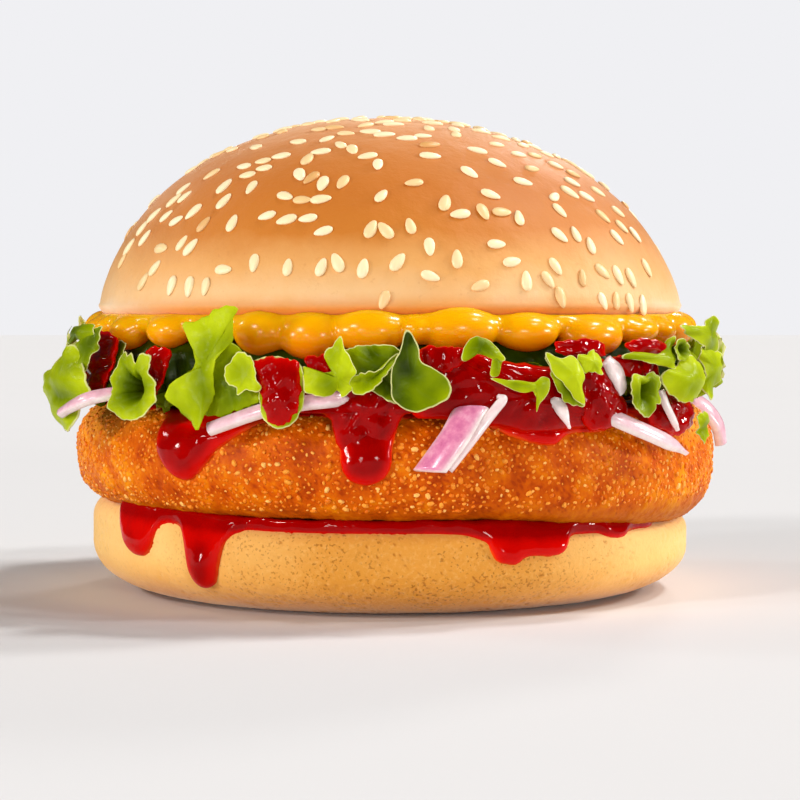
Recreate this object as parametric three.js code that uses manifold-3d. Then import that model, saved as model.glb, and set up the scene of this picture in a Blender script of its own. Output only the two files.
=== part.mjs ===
// Veggie burger. A sesame bun holds, from the bottom up: a layer of red chilli sauce, a breaded
// vegetable patty, more red sauce, strips of red onion, two leaves of curly lettuce and a squeezed
// layer of cheese sauce. Each layer is its own closed solid and runs right through the burger.
//
// Millimetres. +Z is up, +X is to the right and -Y is the front. The origin is the middle of the
// flat base. Places round the burger are bearings in degrees: 0 is the front, 90 the right side.
import * as THREE from "three";
import { mergeVertices } from "three/addons/utils/BufferGeometryUtils.js";
import Module from "manifold-3d";

const wasm = await Module();
wasm.setup();

// ---- Driving dimensions ------------------------------------------------------------------------

const GAP = 0.3; // kept between two layers that touch

const HEEL = { height: 14.2, radius: 52.3, footRadius: 38, footRise: 8, rimRound: 1.7 };
const LOWER_SAUCE = { thickness: 1.1, dripThickness: 1.6, lip: 0.6 };
const PATTY = { thickness: 17.2, radius: 56.2, edgeRound: 8, edgePower: 2.4 };
const UPPER_SAUCE = { thickness: 1.5, dripThickness: 1.6, lip: 1.2 };
const ONION_LAYER = 2; // height left for the onion strips between sauce and lettuce
const LEAF = { heart: 3.3, heartRadius: 38, rim: 1.2, rimStart: 44, ruffleStart: 49, radius: 60.5 };
const CHEESE = { height: 6.2, thickness: 2.6, neckRadius: 51, beadReach: 1.6, bedRadius: 42 };
const CROWN = { radius: 51.5, height: 34.6, rimRound: 1.6, lean: -1.3 };

// Heights of the undersides of the layers, stacked with a gap under each. The beads of the cheese
// sauce hang round the top leaf's heart, so its underside starts lower than the heart's top.
const LOWER_SAUCE_Z = HEEL.height + GAP;
const PATTY_Z = LOWER_SAUCE_Z + LOWER_SAUCE.thickness + GAP;
const UPPER_SAUCE_Z = PATTY_Z + PATTY.thickness + GAP;
const ONION_Z = UPPER_SAUCE_Z + UPPER_SAUCE.thickness + GAP;
const LOWER_LEAF_Z = ONION_Z + ONION_LAYER + GAP;
const UPPER_LEAF_Z = LOWER_LEAF_Z + LEAF.heart + GAP;
const CHEESE_Z = UPPER_LEAF_Z + LEAF.heart + GAP - (CHEESE.height - CHEESE.thickness);
const CROWN_Z = CHEESE_Z + CHEESE.height + GAP;

// Drips: bearing in degrees, half width in mm along the wall, and the height that each reaches.
const LOWER_DRIPS = [
  { at: -52, half: 3.2, to: 8.3 },
  { at: -33.6, half: 3.4, to: 4.7 },
  { at: 23.5, half: 3.9, to: 9.1 },
  { at: 31, half: 3.5, to: 10.4 },
  { at: 45, half: 2.5, to: 11.9 },
  { at: 92, half: 3.3, to: 8 },
  { at: 140, half: 3.5, to: 5.6 },
  { at: -162, half: 3.1, to: 8.6 },
  { at: -112, half: 3.4, to: 6.4 },
];
const UPPER_DRIPS = [
  { at: -34.5, half: 6, to: 22 },
  { at: -3.4, half: 5.4, to: 21.7 },
  { at: 21, half: 17, to: 28.4 },
  { at: 47.5, half: 4, to: 28.2 },
  { at: 84, half: 4.6, to: 25.6 },
  { at: 126, half: 5.5, to: 22.4 },
  { at: 169, half: 4.6, to: 26.4 },
  { at: -144, half: 5.5, to: 21.6 },
  { at: -92, half: 4, to: 26.8 },
];

// Beads of cheese sauce under the crown's rim: bearing and size, 1 being the largest. Those at the
// back go on as the front ones do.
const FRONT_BEADS = [
  { at: -56.5, size: 0.85 },
  { at: -46, size: 0.7 },
  { at: -35, size: 0.6 },
  { at: -24.7, size: 1 },
  { at: -14.5, size: 1 },
  { at: -2.5, size: 0.8 },
  { at: 12, size: 0.9 },
  { at: 25, size: 0.8 },
  { at: 39.5, size: 0.95 },
  { at: 54, size: 0.75 },
];
const BACK_BEADS = { from: 66, to: 292, count: 19, least: 0.62, most: 1 };

// Onion strips. Each is a slice swept along points of bearing, radius and height. Its width shrinks
// to the share `tip` at its end, and its face turns from level, 0, towards facing outwards, 1.
const ONION_STRIPS = [
  {
    path: [[-67, 43, 36.1], [-67, 50, 36], [-67.5, 55.4, 34.8], [-68, 60.6, 32.2]],
    section: { width: 3.4, thick: 1.5, tip: 0.45, face: 0.2 },
  },
  {
    path: [[-3, 50, 36.1], [-10, 55.6, 35.7], [-21, 57.4, 33.4], [-31.5, 59.4, 30.3]],
    section: { width: 2.4, thick: 1.6, tip: 0.7, face: 0.8 },
  },
  {
    path: [[22, 46, 36.1], [18, 53, 36], [13, 58, 33.6], [9.5, 59.8, 29.6], [5.5, 60.3, 24.4]],
    section: { width: 6.2, thick: 1.3, tip: 1, face: 1 },
  },
  {
    path: [[29, 50, 36.1], [33.5, 57.4, 33.9], [40, 59.4, 30.2], [47, 60, 27.9], [53.5, 60.1, 25.6]],
    section: { width: 3.4, thick: 1.5, tip: 0.2, face: 1 },
  },
  {
    path: [[38, 57.6, 36.9], [36, 57, 39.4], [34.5, 55.8, 42.2]],
    section: { width: 4.4, thick: 1.2, tip: 0.8, face: 1 },
  },
  {
    path: [[25, 54, 35.9], [26.5, 57.6, 33.9], [28, 58.9, 30.1]],
    section: { width: 2.4, thick: 1.1, tip: 0.15, face: 1 },
  },
  {
    path: [[99, 46, 36.1], [100, 53.5, 35.8], [101, 59, 32.8], [102, 60.8, 27.6]],
    section: { width: 4.6, thick: 1.5, tip: 0.8, face: 1 },
  },
  {
    path: [[133, 44, 36.1], [136, 53, 36], [139, 58.8, 33.4], [142, 60.2, 27.8]],
    section: { width: 5.6, thick: 1.4, tip: 0.9, face: 1 },
  },
  {
    path: [[176, 50, 36.1], [184, 57, 34.2], [193, 59.6, 30.6], [200, 60, 27.4]],
    section: { width: 3, thick: 1.5, tip: 0.35, face: 1 },
  },
  {
    path: [[-147, 45, 36.1], [-147.5, 53, 36], [-148, 58.9, 33.2], [-149, 60.8, 28.6]],
    section: { width: 4, thick: 1.5, tip: 0.6, face: 1 },
  },
  {
    path: [[-106, 44, 36.1], [-107, 51, 36], [-108, 57, 34.6], [-109, 61, 31.6]],
    section: { width: 3.4, thick: 1.5, tip: 0.5, face: 0.3 },
  },
];

// Colours and finishes of the foods.
const FOODS = {
  crust: { color: 0xd98a45, roughness: 0.5, metalness: 0 },
  crumb: { color: 0xefb970, roughness: 0.75, metalness: 0 },
  breading: { color: 0xdf741c, roughness: 0.8, metalness: 0 },
  chilliSauce: { color: 0xb50a06, roughness: 0.12, metalness: 0 },
  cheeseSauce: { color: 0xfca50e, roughness: 0.15, metalness: 0 },
  lettuce: { color: 0x8fae14, roughness: 0.4, metalness: 0 },
  onion: { color: 0xe8c4d6, roughness: 0.3, metalness: 0 },
};

// How finely round layers are divided, in degrees.
const FINE = 4;
const MEDIUM = 7.2;
const COARSE = 10;

// ---- Shape helpers -----------------------------------------------------------------------------

const clamp01 = (x) => Math.min(1, Math.max(0, x));
const smooth = (x) => clamp01(x) ** 2 * (3 - 2 * clamp01(x));
const radians = THREE.MathUtils.degToRad;
const degrees = THREE.MathUtils.radToDeg;

// The point at a bearing in degrees, a radius and a height.
function place(bearing, radius, z) {
  const b = radians(bearing);
  return new THREE.Vector3(radius * Math.sin(b), -radius * Math.cos(b), z);
}

// The angle from one bearing to another, from -180 up to 180 degrees.
const turn = (from, to) => ((((to - from) % 360) + 540) % 360) - 180;

// A slow, hand-made unevenness of an outline: 1, more or less.
function uneven(bearing, amount, phase) {
  const b = radians(bearing);
  const waves = Math.sin(2 * b + phase) + 0.6 * Math.sin(3 * b + 2.1 * phase) + 0.3 * Math.sin(7 * b - phase);
  return 1 + amount * waves;
}

// Bearings a step apart, with a few more across each feature in place of those close to them.
function bearings(step, features = []) {
  const across = [-1, -0.65, 0, 0.65, 1];
  const found = features.flatMap(({ at, half }) => across.map((share) => turn(0, at + share * half)));
  for (let b = -180; b < 180; b += step)
    if (found.every((other) => Math.abs(turn(b, other)) > 0.35 * step)) found.push(b);
  found.sort((a, b) => a - b);
  return found.filter((b, i) => i === 0 || b - found[i - 1] > 0.25 * FINE);
}

function indexed(positions, index) {
  const geometry = new THREE.BufferGeometry();
  geometry.setAttribute("position", new THREE.Float32BufferAttribute(positions, 3));
  geometry.setIndex(index);
  return geometry;
}

// A closed solid from one outline per bearing. Each outline runs from the top of the axis, out and
// round to the bottom of the axis, as [radius, height] pairs, all with as many points. Upper and
// lower faces are split the same way, so that thin leaves stay evenly thick.
function roundSolid(steps, outlineAt) {
  const rings = steps.map(outlineAt);
  const rows = rings[0].length - 2;
  const positions = [];
  const add = (bearing, [radius, z]) => positions.push(...place(bearing, radius, z).toArray());
  add(0, rings[0][0]);
  add(0, rings[0][rows + 1]);
  rings.forEach((ring, i) => ring.slice(1, -1).forEach((point) => add(steps[i], point)));
  const at = (i, j) => 2 + (i % steps.length) * rows + j;
  const index = [];
  for (let i = 0; i < steps.length; i++) {
    index.push(0, at(i, 0), at(i + 1, 0), 1, at(i + 1, rows - 1), at(i, rows - 1));
    for (let j = 0; j < rows - 1; j++) {
      const [a, b, c, d] = [at(i, j), at(i, j + 1), at(i + 1, j + 1), at(i + 1, j)];
      index.push(...(j < rows / 2 ? [a, b, c, a, c, d] : [a, b, d, b, c, d]));
    }
  }
  return indexed(positions, index);
}

// A solid turned from an outline, from the bottom of the axis to its top, then reshaped point by
// point. It stands with its zero height at z.
function turned(outline, reshape, z = 0) {
  const points = outline.map(([radius, height]) => new THREE.Vector2(radius, height));
  const geometry = new THREE.LatheGeometry(points, 360 / COARSE);
  geometry.rotateX(Math.PI / 2);
  const { position } = geometry.attributes;
  for (let i = 0; i < position.count; i++) {
    const point = new THREE.Vector3().fromBufferAttribute(position, i);
    reshape(point);
    position.setXYZ(i, point.x, point.y, point.z + z);
  }
  return geometry;
}

// The bearing of a point in degrees.
const bearingOf = ({ x, y }) => degrees(Math.atan2(x, -y));

// A manifold-3d solid of a closed geometry, and the geometry of a manifold-3d solid.
function solidOf(geometry) {
  for (const extra of ["normal", "uv"]) geometry.deleteAttribute(extra);
  const merged = mergeVertices(geometry, 1e-4);
  const vertProperties = new Float32Array(merged.attributes.position.array);
  const triVerts = new Uint32Array(merged.index.array);
  return new wasm.Manifold(new wasm.Mesh({ numProp: 3, vertProperties, triVerts }));
}

function geometryOf(solid) {
  const mesh = solid.getMesh();
  return indexed([...mesh.vertProperties], [...mesh.triVerts]);
}

// An outline grown by the gap: out from the axis, and up and down from its middle.
function grown(outline, middle) {
  return outline.map(([r, z]) => [r === 0 ? 0 : r + GAP, z + GAP * Math.sign(z - middle)]);
}

// ---- Bun ---------------------------------------------------------------------------------------

const heelUneven = (bearing) => uneven(bearing, 0.003, 0.8);

// The heel's even outer radius at a height: a round foot, an upright side and a slightly round rim.
function heelProfile(z) {
  const sunk = clamp01((HEEL.footRise - z) / HEEL.footRise);
  const foot = HEEL.footRadius + (HEEL.radius - HEEL.footRadius) * Math.sqrt(1 - sunk ** 2);
  const over = clamp01((z - HEEL.height + HEEL.rimRound) / HEEL.rimRound);
  return foot - HEEL.rimRound * (1 - Math.sqrt(1 - over ** 2));
}

function heelOutline() {
  const foot = [0.1, 0.34, 0.66, 1].map((share) => HEEL.footRise * share);
  const rim = [1, 0.55, 0.2, 0].map((share) => HEEL.height - HEEL.rimRound * share);
  const side = [...foot, ...rim].map((z) => [heelProfile(z), z]);
  return [[0, 0], [HEEL.footRadius, 0], ...side, [0, HEEL.height]];
}

function shapeHeel(point) {
  const share = heelUneven(bearingOf(point));
  point.x *= share;
  point.y *= share;
}

// The crown: a dome a little flatter on its shoulders than an ellipse, with a small round rim.
function crownOutline() {
  const dome = [0.1, 0.27, 0.45, 0.63, 0.79, 0.91, 0.98].map((share) => {
    const bulge = Math.sqrt(1 - share ** 2) * (1 - 0.022 * Math.sin(Math.PI * share));
    return [CROWN.radius * bulge, CROWN.height * share];
  });
  const rim = [
    [CROWN.radius - CROWN.rimRound, 0],
    [CROWN.radius - 0.3 * CROWN.rimRound, 0.3 * CROWN.rimRound],
  ];
  return [[0, 0], ...rim, ...dome, [0, CROWN.height]];
}

// The crown is least even at its rim, and its top sits a little to the left.
function shapeCrown(point) {
  const share = point.z / CROWN.height;
  const out = uneven(bearingOf(point), 0.004 * (1 - share), 2.2);
  point.x = point.x * out + CROWN.lean * share ** 2;
  point.y *= out;
}

// ---- Patty and red sauce -----------------------------------------------------------------------

const pattyUneven = (bearing) => uneven(bearing, 0.006, 1.3);

// The patty's even outer radius at a height: an upright side between two well rounded edges.
function pattyProfile(z) {
  const off = clamp01(Math.abs((2 * z) / PATTY.thickness - 1));
  const round = PATTY.edgeRound * (1 - off ** PATTY.edgePower) ** (1 / PATTY.edgePower);
  return PATTY.radius - PATTY.edgeRound + round;
}

function pattyOutline() {
  const shares = [-1, -0.975, -0.82, -0.5, 0, 0.5, 0.82, 0.975, 1];
  const heights = shares.map((share) => (PATTY.thickness / 2) * (1 + share));
  return [[0, 0], ...heights.map((z) => [pattyProfile(z), z]), [0, PATTY.thickness]];
}

function shapePatty(point) {
  const share = pattyUneven(bearingOf(point));
  point.x *= share;
  point.y *= share;
}

// How far a sauce hangs below its bed at a bearing, from its drips, each a tongue with a round end.
function dripDepth(drips, wallRadius, bed, bearing) {
  return drips.reduce((deepest, drip) => {
    const away = Math.abs(radians(turn(drip.at, bearing))) * wallRadius;
    const tongue = Math.sqrt(1 - clamp01(away / drip.half) ** 2.6);
    return Math.max(deepest, (bed - drip.to) * tongue);
  }, 0);
}

// A sauce that lies on a bed and hangs over the wall of the layer under it. It is drawn a little
// inside that layer, then cut clear of it.
function sauceGeometry({ bed, thickness, dripThickness, lip, drips, radius, wallAt, carrier }) {
  const features = drips.map(({ at, half }) => ({ at, half: degrees(half / radius) }));
  function outlineAt(bearing) {
    const depth = Math.max(lip, dripDepth(drips, radius, bed, bearing));
    const end = bed - depth;
    const thick = dripThickness * (0.55 + 0.45 * smooth(depth / 4));
    const skin = (z, share) => [wallAt(bearing, z) + GAP + thick * share, z];
    return [
      [0, bed + thickness],
      [wallAt(bearing, bed) + GAP + thick - 2, bed + thickness],
      ...[0, 0.15, 0.5].map((share) => skin(bed - depth * share, 1)),
      skin(bed - depth * 0.93, 0.6),
      skin(end, 0.25),
      [radius - 5, end],
      [radius - 5, bed - lip / 2],
      [0, bed - lip / 2],
    ];
  }
  return geometryOf(solidOf(roundSolid(bearings(COARSE, features), outlineAt)).subtract(carrier));
}

const lowerSauce = () =>
  sauceGeometry({
    ...LOWER_SAUCE,
    bed: LOWER_SAUCE_Z,
    drips: LOWER_DRIPS,
    radius: HEEL.radius,
    wallAt: (bearing, z) => heelProfile(z) * heelUneven(bearing),
    carrier: solidOf(turned(grown(heelOutline(), HEEL.height - HEEL.rimRound), shapeHeel)),
  });

const upperSauce = () =>
  sauceGeometry({
    ...UPPER_SAUCE,
    bed: UPPER_SAUCE_Z,
    drips: UPPER_DRIPS,
    radius: PATTY.radius,
    wallAt: (bearing, z) => pattyProfile(z - PATTY_Z) * pattyUneven(bearing),
    carrier: solidOf(turned(grown(pattyOutline(), PATTY.thickness / 2), shapePatty, PATTY_Z)),
  });

// ---- Onion -------------------------------------------------------------------------------------

// One strip of onion. `grow` adds that much all round, for cutting a neighbour clear of it.
function onionGeometry({ path, section }, grow = 0) {
  const curve = new THREE.CatmullRomCurve3(path.map((point) => place(...point)));
  const count = 2 * (path.length - 1);
  const positions = [];
  for (let i = 0; i <= count; i++) {
    const share = i / count;
    const middle = curve.getPoint(share);
    const along = curve.getTangent(share);
    const outward = new THREE.Vector3(middle.x, middle.y, 0).normalize();
    const up = new THREE.Vector3(0, 0, 1).lerp(outward, section.face * smooth(share * 1.25));
    up.addScaledVector(along, -up.dot(along)).normalize();
    const across = new THREE.Vector3().crossVectors(up, along);
    const half = (section.width / 2) * (1 - (1 - section.tip) * smooth((share - 0.35) / 0.65)) + grow;
    if (i === 0) middle.addScaledVector(along, -grow);
    if (i === count) middle.addScaledVector(along, grow);
    for (const [u, v] of [[-1, -1], [1, -1], [1, 1], [-1, 1]]) {
      const corner = middle.clone().addScaledVector(across, u * half);
      positions.push(...corner.addScaledVector(up, v * (section.thick / 2 + grow)).toArray());
    }
  }
  const last = 4 * count;
  const index = [0, 2, 1, 0, 3, 2, last, last + 1, last + 2, last, last + 2, last + 3];
  for (let i = 0; i < count; i++)
    for (let k = 0; k < 4; k++) {
      const [a, b] = [4 * i + k, 4 * i + ((k + 1) % 4)];
      index.push(a, b, b + 4, a, b + 4, a + 4);
    }
  return indexed(positions, index);
}

// ---- Lettuce -----------------------------------------------------------------------------------

// How far the lower leaf's edge rises, or hangs if negative.
function lowerRuffle(bearing) {
  const b = radians(bearing);
  return -3.2 + 3.5 * Math.sin(9 * b + 0.7) + 2.1 * Math.sin(14 * b + 2.3);
}

// The upper leaf's edge, always somewhat higher than the lower one's.
function upperRuffle(bearing) {
  const b = radians(bearing);
  return lowerRuffle(bearing) + 3.6 + 2 * Math.sin(8 * b + 2.6) + 1.1 * Math.sin(13 * b);
}

// A leaf: a thick crumpled heart inside the burger and a thin ruffled frill outside it.
function leafOutline(bearing, { heartZ, rimZ, ruffle }) {
  const b = radians(bearing);
  const edge = LEAF.radius + 1.1 * Math.sin(11 * b + 1) + 0.6 * Math.sin(17 * b);
  const frill = edge - LEAF.ruffleStart;
  const radii = [LEAF.rimStart, LEAF.ruffleStart, LEAF.ruffleStart + frill / 2, edge];
  const middle = (r) => rimZ + ruffle(bearing) * clamp01((r - LEAF.ruffleStart) / frill) ** 1.4;
  const half = (r) => (LEAF.rim / 2) * (r < edge ? 1 : 0.5);
  return [
    [0, heartZ + LEAF.heart],
    [LEAF.heartRadius, heartZ + LEAF.heart],
    ...radii.map((r) => [r, middle(r) + half(r)]),
    ...radii.reverse().map((r) => [r, middle(r) - half(r)]),
    [LEAF.heartRadius, heartZ],
    [0, heartZ],
  ];
}

// A leaf as a solid, cut clear of the onion strips that poke out past it.
function leafGeometry(shape) {
  const leaf = solidOf(roundSolid(bearings(MEDIUM), (bearing) => leafOutline(bearing, shape)));
  const cutClear = (left, strip) => left.subtract(solidOf(onionGeometry(strip, GAP)));
  return geometryOf(ONION_STRIPS.reduce(cutClear, leaf));
}

const LOWER_LEAF = { heartZ: LOWER_LEAF_Z, rimZ: LOWER_LEAF_Z + LEAF.rim / 2, ruffle: lowerRuffle };
const UPPER_LEAF = { heartZ: UPPER_LEAF_Z, rimZ: LOWER_LEAF.rimZ + LEAF.rim + GAP, ruffle: upperRuffle };

// ---- Cheese sauce ------------------------------------------------------------------------------

function cheeseBeads() {
  const { from, to, count, least, most } = BACK_BEADS;
  const back = Array.from({ length: count }, (_, i) => ({
    at: from + ((to - from) * i) / (count - 1) + 1.6 * Math.sin(2.4 * i),
    size: least + (most - least) * (0.5 + 0.5 * Math.sin(1.9 * i + 0.6)),
  }));
  return [...FRONT_BEADS, ...back];
}

// A flat layer whose rim swells outwards and downwards into beads.
function cheeseGeometry() {
  const beads = cheeseBeads();
  const between = 0.3; // how full the rim stays between two beads
  const fullness = (bearing) =>
    beads.reduce((most, { at, size }) => {
      const away = clamp01(Math.abs(turn(at, bearing)) / (4 + 3.2 * size));
      return Math.max(most, size * Math.sqrt(1 - away ** 2));
    }, between);
  const middle = CHEESE.height - CHEESE.thickness;
  return roundSolid(bearings(FINE), (bearing) => {
    const full = fullness(bearing);
    const out = CHEESE.neckRadius + CHEESE.beadReach * full;
    const low = middle * (1 - full);
    return [
      [0, CHEESE.height],
      [out - 1.1, CHEESE.height],
      [out, (CHEESE.height + low) / 2],
      [out - 1.4, low],
      [out - 5.4, low + 0.9],
      [CHEESE.bedRadius, middle],
      [0, middle],
    ];
  });
}

// ---- The burger --------------------------------------------------------------------------------

const burger = new THREE.Group();
burger.name = "veggie_burger";

// Adds one food as a named mesh, its own zero height placed at z.
function addFood(name, food, geometry, z = 0) {
  const flat = geometry.toNonIndexed();
  flat.computeVertexNormals();
  const mesh = new THREE.Mesh(flat, new THREE.MeshStandardMaterial(FOODS[food]));
  mesh.name = name;
  mesh.position.z = z;
  burger.add(mesh);
}

addFood("bottom_bun", "crumb", turned(heelOutline(), shapeHeel));
addFood("lower_sauce", "chilliSauce", lowerSauce());
addFood("patty", "breading", turned(pattyOutline(), shapePatty), PATTY_Z);
addFood("upper_sauce", "chilliSauce", upperSauce());
ONION_STRIPS.forEach((strip, i) => {
  addFood(`onion_strip_${String(i + 1).padStart(2, "0")}`, "onion", onionGeometry(strip));
});
addFood("lower_lettuce", "lettuce", leafGeometry(LOWER_LEAF));
addFood("upper_lettuce", "lettuce", leafGeometry(UPPER_LEAF));
addFood("cheese_sauce", "cheeseSauce", cheeseGeometry(), CHEESE_Z);
addFood("top_bun", "crust", turned(crownOutline(), shapeCrown), CROWN_Z);

export default burger;
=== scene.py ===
"""The looks of a veggie burger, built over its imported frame.

A sesame bun holds red chilli sauce, a breaded patty, more sauce, red onion, curly lettuce and a
squeezed ring of cheese sauce. Sizes are in millimetres and bearings in degrees from the front (-Y)
towards the right (+X); meshes are turned into metres when they are made.
"""

import logging
import math
from dataclasses import dataclass, field
from enum import Enum
from typing import Callable, Optional, Sequence, Union

import bpy
import numpy as np
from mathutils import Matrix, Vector


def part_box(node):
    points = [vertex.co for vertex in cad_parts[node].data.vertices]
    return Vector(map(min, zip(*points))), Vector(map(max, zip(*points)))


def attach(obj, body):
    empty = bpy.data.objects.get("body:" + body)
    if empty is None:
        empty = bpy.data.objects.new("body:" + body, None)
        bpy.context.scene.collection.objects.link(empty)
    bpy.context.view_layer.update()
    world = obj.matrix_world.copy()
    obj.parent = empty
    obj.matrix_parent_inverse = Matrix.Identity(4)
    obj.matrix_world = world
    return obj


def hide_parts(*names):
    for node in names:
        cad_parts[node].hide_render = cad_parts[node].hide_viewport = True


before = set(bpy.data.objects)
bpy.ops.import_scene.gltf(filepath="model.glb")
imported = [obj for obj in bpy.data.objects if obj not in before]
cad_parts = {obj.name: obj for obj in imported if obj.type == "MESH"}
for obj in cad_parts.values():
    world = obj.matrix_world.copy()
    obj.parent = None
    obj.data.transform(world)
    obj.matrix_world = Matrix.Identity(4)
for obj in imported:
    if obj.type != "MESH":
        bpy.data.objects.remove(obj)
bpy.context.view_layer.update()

MM = 0.001
OPEN_AIR = 6.0  # what an empty vat holds: a distance in mm that is well outside any liquid
SEARCH = 12.0  # how far along its wall a pour's edge is looked for, in mm
BEYOND = 7.0  # the depth taken where no edge is that near, in mm
FLAT_MIDDLE = 44.0  # radius in mm up to which the flat faces of the round layers need few rings
INNER_REACH = 56.0  # a random lobe of lettuce that reaches less far belongs to the lower leaf
LOG = logging.getLogger("burger")
Colour = tuple[float, float, float]
Places = Sequence[tuple[float, float, float]]


# ---- Numbers and curves --------------------------------------------------------------------------


def linear(colour: Colour) -> tuple[float, float, float, float]:
    """Turn an sRGB colour into linear light.

    Args:
        colour: Red, green and blue from 0 to 255.

    Returns:
        Linear red, green, blue and an alpha of 1.
    """
    parts = [c / 255 for c in colour]
    return (*[p / 12.92 if p <= 0.04045 else ((p + 0.055) / 1.055) ** 2.4 for p in parts], 1.0)


def eased(value: np.ndarray, low: float, high: float) -> np.ndarray:
    """Rise smoothly from 0 at low to 1 at high.

    Args:
        value: The numbers to ease.
        low: Where the rise starts.
        high: Where it ends.

    Returns:
        Numbers from 0 to 1.
    """
    share = np.clip((value - low) / (high - low), 0, 1)
    return share * share * (3 - 2 * share)


def uneven(bearing: np.ndarray, amount: float, phase: float) -> np.ndarray:
    """Give the slight waver of a hand-made outline.

    Args:
        bearing: Bearings in radians.
        amount: Size of the waver as a share of the radius.
        phase: Which waver it is.

    Returns:
        A factor near 1 for the radius at each bearing.
    """
    waves = np.sin(2 * bearing + phase) + 0.6 * np.sin(3 * bearing + 2.1 * phase)
    return 1 + amount * (waves + 0.3 * np.sin(7 * bearing - phase))


def ripple(seed: int, across: np.ndarray, along: np.ndarray, finest: float = 2.2) -> np.ndarray:
    """Make smooth noise out of a few sines.

    Args:
        seed: Which noise it is.
        across: First coordinate, a lump being about one unit.
        along: Second coordinate.
        finest: How much finer than that the finest sine is.

    Returns:
        Numbers from about -1 to 1.
    """
    draw = np.random.default_rng(seed)
    total = np.zeros(np.broadcast(across, along).shape)
    for pitch in np.geomspace(0.7, finest, 7):
        heading, phase = draw.uniform(0, 2 * math.pi, 2)
        wave = across * math.cos(heading) + along * math.sin(heading)
        total += np.sin(math.pi * pitch * wave + phase) / pitch ** 0.5
    return total / 3.2


def around(bearing: np.ndarray, radius: np.ndarray, height: np.ndarray) -> np.ndarray:
    """Place points round the burger's axis.

    Args:
        bearing: Bearings in radians.
        radius: Distances from the axis.
        height: Heights.

    Returns:
        Points, with x, y and z in the last axis.
    """
    spot = np.broadcast_arrays(radius * np.sin(bearing), -radius * np.cos(bearing), height)
    return np.stack(spot, axis=-1)


def places(route: Places) -> np.ndarray:
    """Turn bearing (degrees), radius and height triples into points."""
    table = np.array(route, dtype=float)
    return around(np.radians(table[:, 0]), table[:, 1], table[:, 2])


def curve(knots: np.ndarray, share: np.ndarray) -> np.ndarray:
    """Follow a smooth curve through knots.

    Args:
        knots: The knots, one a row.
        share: How far along to look, from 0 to 1.

    Returns:
        One row for each share.
    """
    knots = np.asarray(knots, dtype=float)
    if knots.ndim == 1:
        knots = knots[:, None]
    ends = np.concatenate((2 * knots[:1] - knots[1:2], knots, 2 * knots[-1:] - knots[-2:-1]))
    spot = np.clip(share, 0, 1) * (len(knots) - 1)
    index = np.minimum(spot.astype(int), len(knots) - 2)
    t = (spot - index)[:, None]
    a, b, c, d = (ends[index + step] for step in range(4))
    return 0.5 * (2 * b + (c - a) * t + (2 * a - 5 * b + 4 * c - d) * t ** 2
                  + (3 * b - a - 3 * c + d) * t ** 3)


def unit(vectors: np.ndarray) -> np.ndarray:
    """Scale vectors to a length of 1."""
    return vectors / np.maximum(np.linalg.norm(vectors, axis=-1, keepdims=True), 1e-9)


def grid_quads(rows: int, columns: int, closed: bool) -> np.ndarray:
    """List the quads of a grid of points.

    Args:
        rows: Rows of points, from the top down.
        columns: Points in a row, going to the right as seen from outside.
        closed: Whether the last column joins the first.

    Returns:
        Four corner numbers for each quad, anticlockwise from outside.
    """
    column = np.arange(columns if closed else columns - 1)
    start = np.arange(rows - 1)[:, None] * columns
    here, right = start + column, start + (column + 1) % columns
    return np.stack((here, here + columns, right + columns, right), axis=-1).reshape(-1, 4)


# ---- Meshes --------------------------------------------------------------------------------------


def placed(name: str, data: bpy.types.ID) -> bpy.types.Object:
    """Put an object with some data into the scene."""
    made = bpy.data.objects.new(name, data)
    bpy.context.collection.objects.link(made)
    return made


@dataclass
class Heap:
    """Meshes in millimetres that are gathered into one piece."""

    points: list[np.ndarray] = field(default_factory=list)
    faces: list[np.ndarray] = field(default_factory=list)
    values: dict[str, list[np.ndarray]] = field(default_factory=dict)
    count: int = 0

    def add(self, points: np.ndarray, *faces: np.ndarray, **values: np.ndarray) -> None:
        """Put a mesh on the heap.

        Args:
            points: Its points, in millimetres.
            *faces: Arrays of corner numbers.
            **values: A number for each point, by the name of its attribute.
        """
        self.points.append(points.reshape(-1, 3))
        self.faces += [face + self.count for face in faces]
        for name, numbers in values.items():
            full = np.broadcast_to(numbers, (len(self.points[-1]),)) if np.ndim(numbers) < 2 else numbers
            self.values.setdefault(name, []).append(np.asarray(full, dtype=float).ravel())
        self.count += len(self.points[-1])

    def tube(self, rings: np.ndarray, ends: Sequence, inward: bool = False, **values: np.ndarray) -> None:
        """Put a tube on the heap, closed by a fan at each end.

        Args:
            rings: Points by ring and column, going to the right as seen from outside.
            ends: The middles of the first fan and of the last.
            inward: Whether the columns go to the left instead.
            **values: A number for each point, by the name of its attribute.
        """
        rows, columns = rings.shape[:2]
        turn, after = np.arange(columns), (np.arange(columns) + 1) % columns
        count, last = rows * columns, (rows - 1) * columns
        quads = grid_quads(rows, columns, True)
        start = np.stack((np.full(columns, count), turn, after), axis=-1)
        end = np.stack((np.full(columns, count + 1), last + after, last + turn), axis=-1)
        if inward:
            quads, start, end = quads[:, ::-1], start[:, [0, 2, 1]], end[:, [0, 2, 1]]
        self.add(np.concatenate((rings.reshape(-1, 3), ends)), quads, start, end, **values)

    def piece(self, name: str, material: bpy.types.Material) -> bpy.types.Object:
        """Make the heap one object.

        Args:
            name: The piece's name.
            material: Its finish.

        Returns:
            The object, with its place in its mesh.
        """
        mesh = bpy.data.meshes.new(name)
        faces = [tuple(face) for group in self.faces for face in group.tolist()]
        mesh.from_pydata((np.concatenate(self.points) * MM).tolist(), [], faces)
        mesh.shade_smooth()
        for label, numbers in self.values.items():
            layer = mesh.attributes.new(label, "FLOAT", "POINT")
            layer.data.foreach_set("value", np.concatenate(numbers).astype(np.float32))
        mesh.materials.append(material)
        return placed(name, mesh)


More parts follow.
